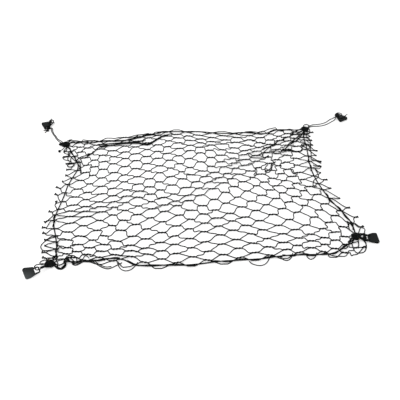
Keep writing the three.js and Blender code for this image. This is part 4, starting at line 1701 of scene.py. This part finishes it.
@dataclass
class CornerKnots:
    """The knots that gather the net and its cords at the corners."""

    knot: WoundKnot = field(default_factory=WoundKnot)
    end_radius: float = 2.2
    tip_radius: float = 2.3

    def build(self, material: Material, sealed: Material) -> None:
        """Makes the knots and dresses them.

        Args:
            material: The cords' material.
            sealed: The melted ends' material.
        """
        for corner, way in CUT_ENDS.items():
            node = f"corner_knot_{corner.value}"
            end = strand_along(way, self.end_radius)
            tip = sealed_tip(end.line, self.tip_radius)
            strand_piece(f"knot_end_{corner.value}", [end], 3, material, "cord", node)
            strand_piece(f"knot_tip_{corner.value}", [tip], 3, sealed, "cord", node)
        for seed, (corner, lobes) in enumerate(KNOTS.items()):
            node = f"corner_knot_{corner.value}"
            strands = [self.knot.strand(lobe, seed + 3 * i) for i, lobe in enumerate(lobes)]
            strand_piece(f"knot_winding_{corner.value}", strands, 3, material, "cord", node)
            shape = bmesh.new()
            for lobe in lobes:
                self.knot.core(shape, lobe)
            dress(mesh_object(f"knot_core_{corner.value}", shape), material, "cord", node)


@dataclass
class StopperTail:
    """The short cord tail at the back left knot, with a knotted ball at its end."""

    diameter: float = 3.6
    pieces: int = 6
    way: Way = ((-654, 238, 3), (-661, 224, 3.5), (-668, 210, 7.1))
    length: float = 0.041
    ball_core: float = 5.7  # radius
    ball_cord: float = 1.8  # half the thickness of the cord that is wound on the ball
    ball_winding: float = 5.0  # from the ball's middle to the middle of that cord
    turns: int = 4
    points_a_turn: int = 16

    def build(self, cord: Material) -> None:
        """Args:
            cord: The cord's material.
        """
        start = KNOTS[Corner.BACK_LEFT][0].face(Vector(self.way[0]), self.diameter)
        strand = strand_along((start, *self.way), self.diameter / 2, self.pieces)
        tail = strand_piece("plaited_tail", [strand], 3, cord, "cord", "stopper_tail")
        end = Vector(self.way[-1])
        strand_piece("tail_ball_winding", [Strand(self.winding(end), self.ball_cord)], 2,
                     cord, "cord", "stopper_tail")
        shape = bmesh.new()
        bmesh.ops.create_icosphere(shape, subdivisions=3, radius=self.ball_core * MM,
                                   matrix=Matrix.Translation(placed(end)))
        dress(mesh_object("tail_ball_core", shape), cord, "cord", "stopper_tail")
        declare_cord(tail, strand.line)

    def winding(self, middle: Vector) -> list[Vector]:
        """Winds the cord over the ball.

        Args:
            middle: The ball's middle.

        Returns:
            The winding's line.
        """
        line = []
        for i in range(self.turns * self.points_a_turn + 1):
            round_it = 2 * math.pi * i / self.points_a_turn
            tilt = Matrix.Rotation(math.pi * i / (self.turns * self.points_a_turn), 3, "X")
            out = tilt @ Vector((math.cos(round_it), math.sin(round_it), 0))
            line.append(middle + out * self.ball_winding)
        return line


@dataclass
class HookKnot:
    """The knot on the tie cord beside the back left hook, with two free ends and their sealed tips."""

    lobe: Lobe = Lobe(-764.5, 381.8, 5.4, 8, 6, 5.2)
    ends: tuple[Way, ...] = (
        ((-768, 385, 5), (-777, 385.5, 3.4), (-787, 387, 2.4)),
        ((-768, 384, 4), (-772, 375, 2.8), (-776, 366, 2.4)),
    )
    knot: WoundKnot = field(default_factory=lambda: WoundKnot(cord=3.6, turns=4))
    seed: int = 2
    end_radius: float = 2.0
    tip_radius: float = 2.1

    def build(self, cord: Material, sealed: Material) -> None:
        """Makes the knot, its ends and their tips.

        Args:
            cord: The cord's material.
            sealed: The melted ends' material.
        """
        ends = [strand_along(way, self.end_radius) for way in self.ends]
        tips = [sealed_tip(end.line, self.tip_radius) for end in ends]
        winding = self.knot.strand(self.lobe, self.seed)
        strand_piece("hook_knot_winding", [winding, *ends], 2, cord, "cord", "hook_knot")
        strand_piece("hook_knot_tips", tips, 2, sealed, "cord", "hook_knot")


# ---- Stage -------------------------------------------------------------------------------------------


@dataclass
class Studio:
    """The camera, the soft lights and the pale floor."""

    eye: Point = (23, -1695, 1525)  # in the tables' frame
    tilt: float = 45.8
    lens: float = 44.37
    sky: float = 0.72
    lamp: Point = (-1.2, -0.4, 2.8)  # in metres, looking at the origin
    lamp_size: tuple[float, float] = (2.6, 1.8)
    lamp_energy: float = 28.0
    floor_half: float = 9.0
    floor_grey: float = 0.86
    floor_glow: float = 0.42  # that only the camera sees

    def camera(self) -> None:
        """Makes the camera."""
        data = bpy.data.cameras.new("camera")
        data.lens = self.lens
        data.sensor_width = 36.0
        data.clip_end = 60.0
        camera = add_object("camera", data)
        camera.location = placed(self.eye)
        camera.rotation_euler = (math.radians(self.tilt), 0, 0)
        bpy.context.scene.camera = camera

    def lights(self) -> None:
        """Makes an even pale sky and one broad soft lamp."""
        world = bpy.data.worlds.new("pale sky")
        world.use_nodes = True
        sky = world.node_tree.nodes["Background"]
        sky.inputs["Color"].default_value = (1.0, 1.0, 1.0, 1.0)
        sky.inputs["Strength"].default_value = self.sky
        bpy.context.scene.world = world
        lamp = bpy.data.lights.new("soft box", "AREA")
        lamp.shape = "RECTANGLE"
        lamp.size, lamp.size_y = self.lamp_size
        lamp.energy = self.lamp_energy
        box = add_object("soft box", lamp)
        box.location = self.lamp
        box.rotation_euler = Vector(self.lamp).to_track_quat("Z", "Y").to_euler()

    def floor(self) -> None:
        """Makes the pale floor. The camera sees it nearly white, with the net's soft shadow on it."""
        shape = bmesh.new()
        bmesh.ops.create_grid(shape, x_segments=1, y_segments=1, size=self.floor_half)
        floor = mesh_object("floor", shape)
        material, tree, shader = start_material("pale floor")
        shader.inputs["Base Color"].default_value = (self.floor_grey, self.floor_grey, self.floor_grey, 1.0)
        shader.inputs["Roughness"].default_value = 0.9
        shader.inputs["Specular IOR Level"].default_value = 0.0
        rays = tree.nodes.new("ShaderNodeLightPath")
        seen = maths(tree, "MULTIPLY", rays.outputs["Is Camera Ray"], self.floor_glow)
        shader.inputs["Emission Color"].default_value = (1.0, 1.0, 1.0, 1.0)
        tree.links.new(seen, shader.inputs["Emission Strength"])
        floor.data.materials.append(material)


# ---- Finishes and the whole --------------------------------------------------------------------------

TWINE_FINISH = StrandFinish("netting twine", (0.0025, 0.0035, 0.0035), (0.016, 0.019, 0.018),
                            pitch=0.5, plies=2.0, relief=0.35)
CORD_FINISH = StrandFinish("plaited cord", (0.0025, 0.0033, 0.0035), (0.015, 0.018, 0.018),
                           pitch=0.42, plies=3.0, relief=0.5)
HOOK_FINISH = PlasticFinish("hook plastic", (0.004, 0.006, 0.006), (0.012, 0.016, 0.016), roughness=0.42)
# A lit copy of the hook plastic for the front left hook. Its colours are lighter and it has a painted
# highlight round its patch, standing in for the light that its face catches.
PAINTED_HIGHLIGHT_HOOK_FINISH = PlasticFinish("hook plastic that catches the light", (0.005, 0.0075, 0.0075),
                                 (0.015, 0.020, 0.020), roughness=0.42, specular=0.3,
                                 patch=(-646, -552, 6, 46))
SEALED_FINISH = PlasticFinish("melted cord end", (0.16, 0.11, 0.055), (0.30, 0.22, 0.12), roughness=0.45)


def main() -> None:
    """Builds the camera, the cords, the net, the knots and the hooks, and reports each piece."""
    logging.basicConfig(level=logging.INFO, format="%(message)s")
    bpy.context.scene.view_settings.view_transform = "Standard"
    studio = Studio()
    studio.camera()
    effects = Effects()
    finishes = TWINE_FINISH, CORD_FINISH, HOOK_FINISH, PAINTED_HIGHLIGHT_HOOK_FINISH, SEALED_FINISH
    twine, cord, plastic, pale, sealed = (finish.material(effects) for finish in finishes)

    hook = MouldedHook()
    TieCords(hook).build(cord)
    net = NetPanel()
    cords = BorderCords(net)
    cords.build(cord)
    net.build(twine)
    LooseTurns(cords).build(twine, cord)
    CornerKnots().build(cord, sealed)
    for corner, place in HOOKS.items():
        # The front left hook takes the lit copy of the plastic, with its painted highlight.
        finish = pale if corner is Corner.FRONT_LEFT else plastic
        dress(hook.piece(corner, place), finish, "hook_plastic", f"hook_{corner.value}")
    StopperTail().build(cord)
    HookKnot().build(cord, sealed)

    studio.lights()
    studio.floor()


if __name__ == "__main__":
    main()
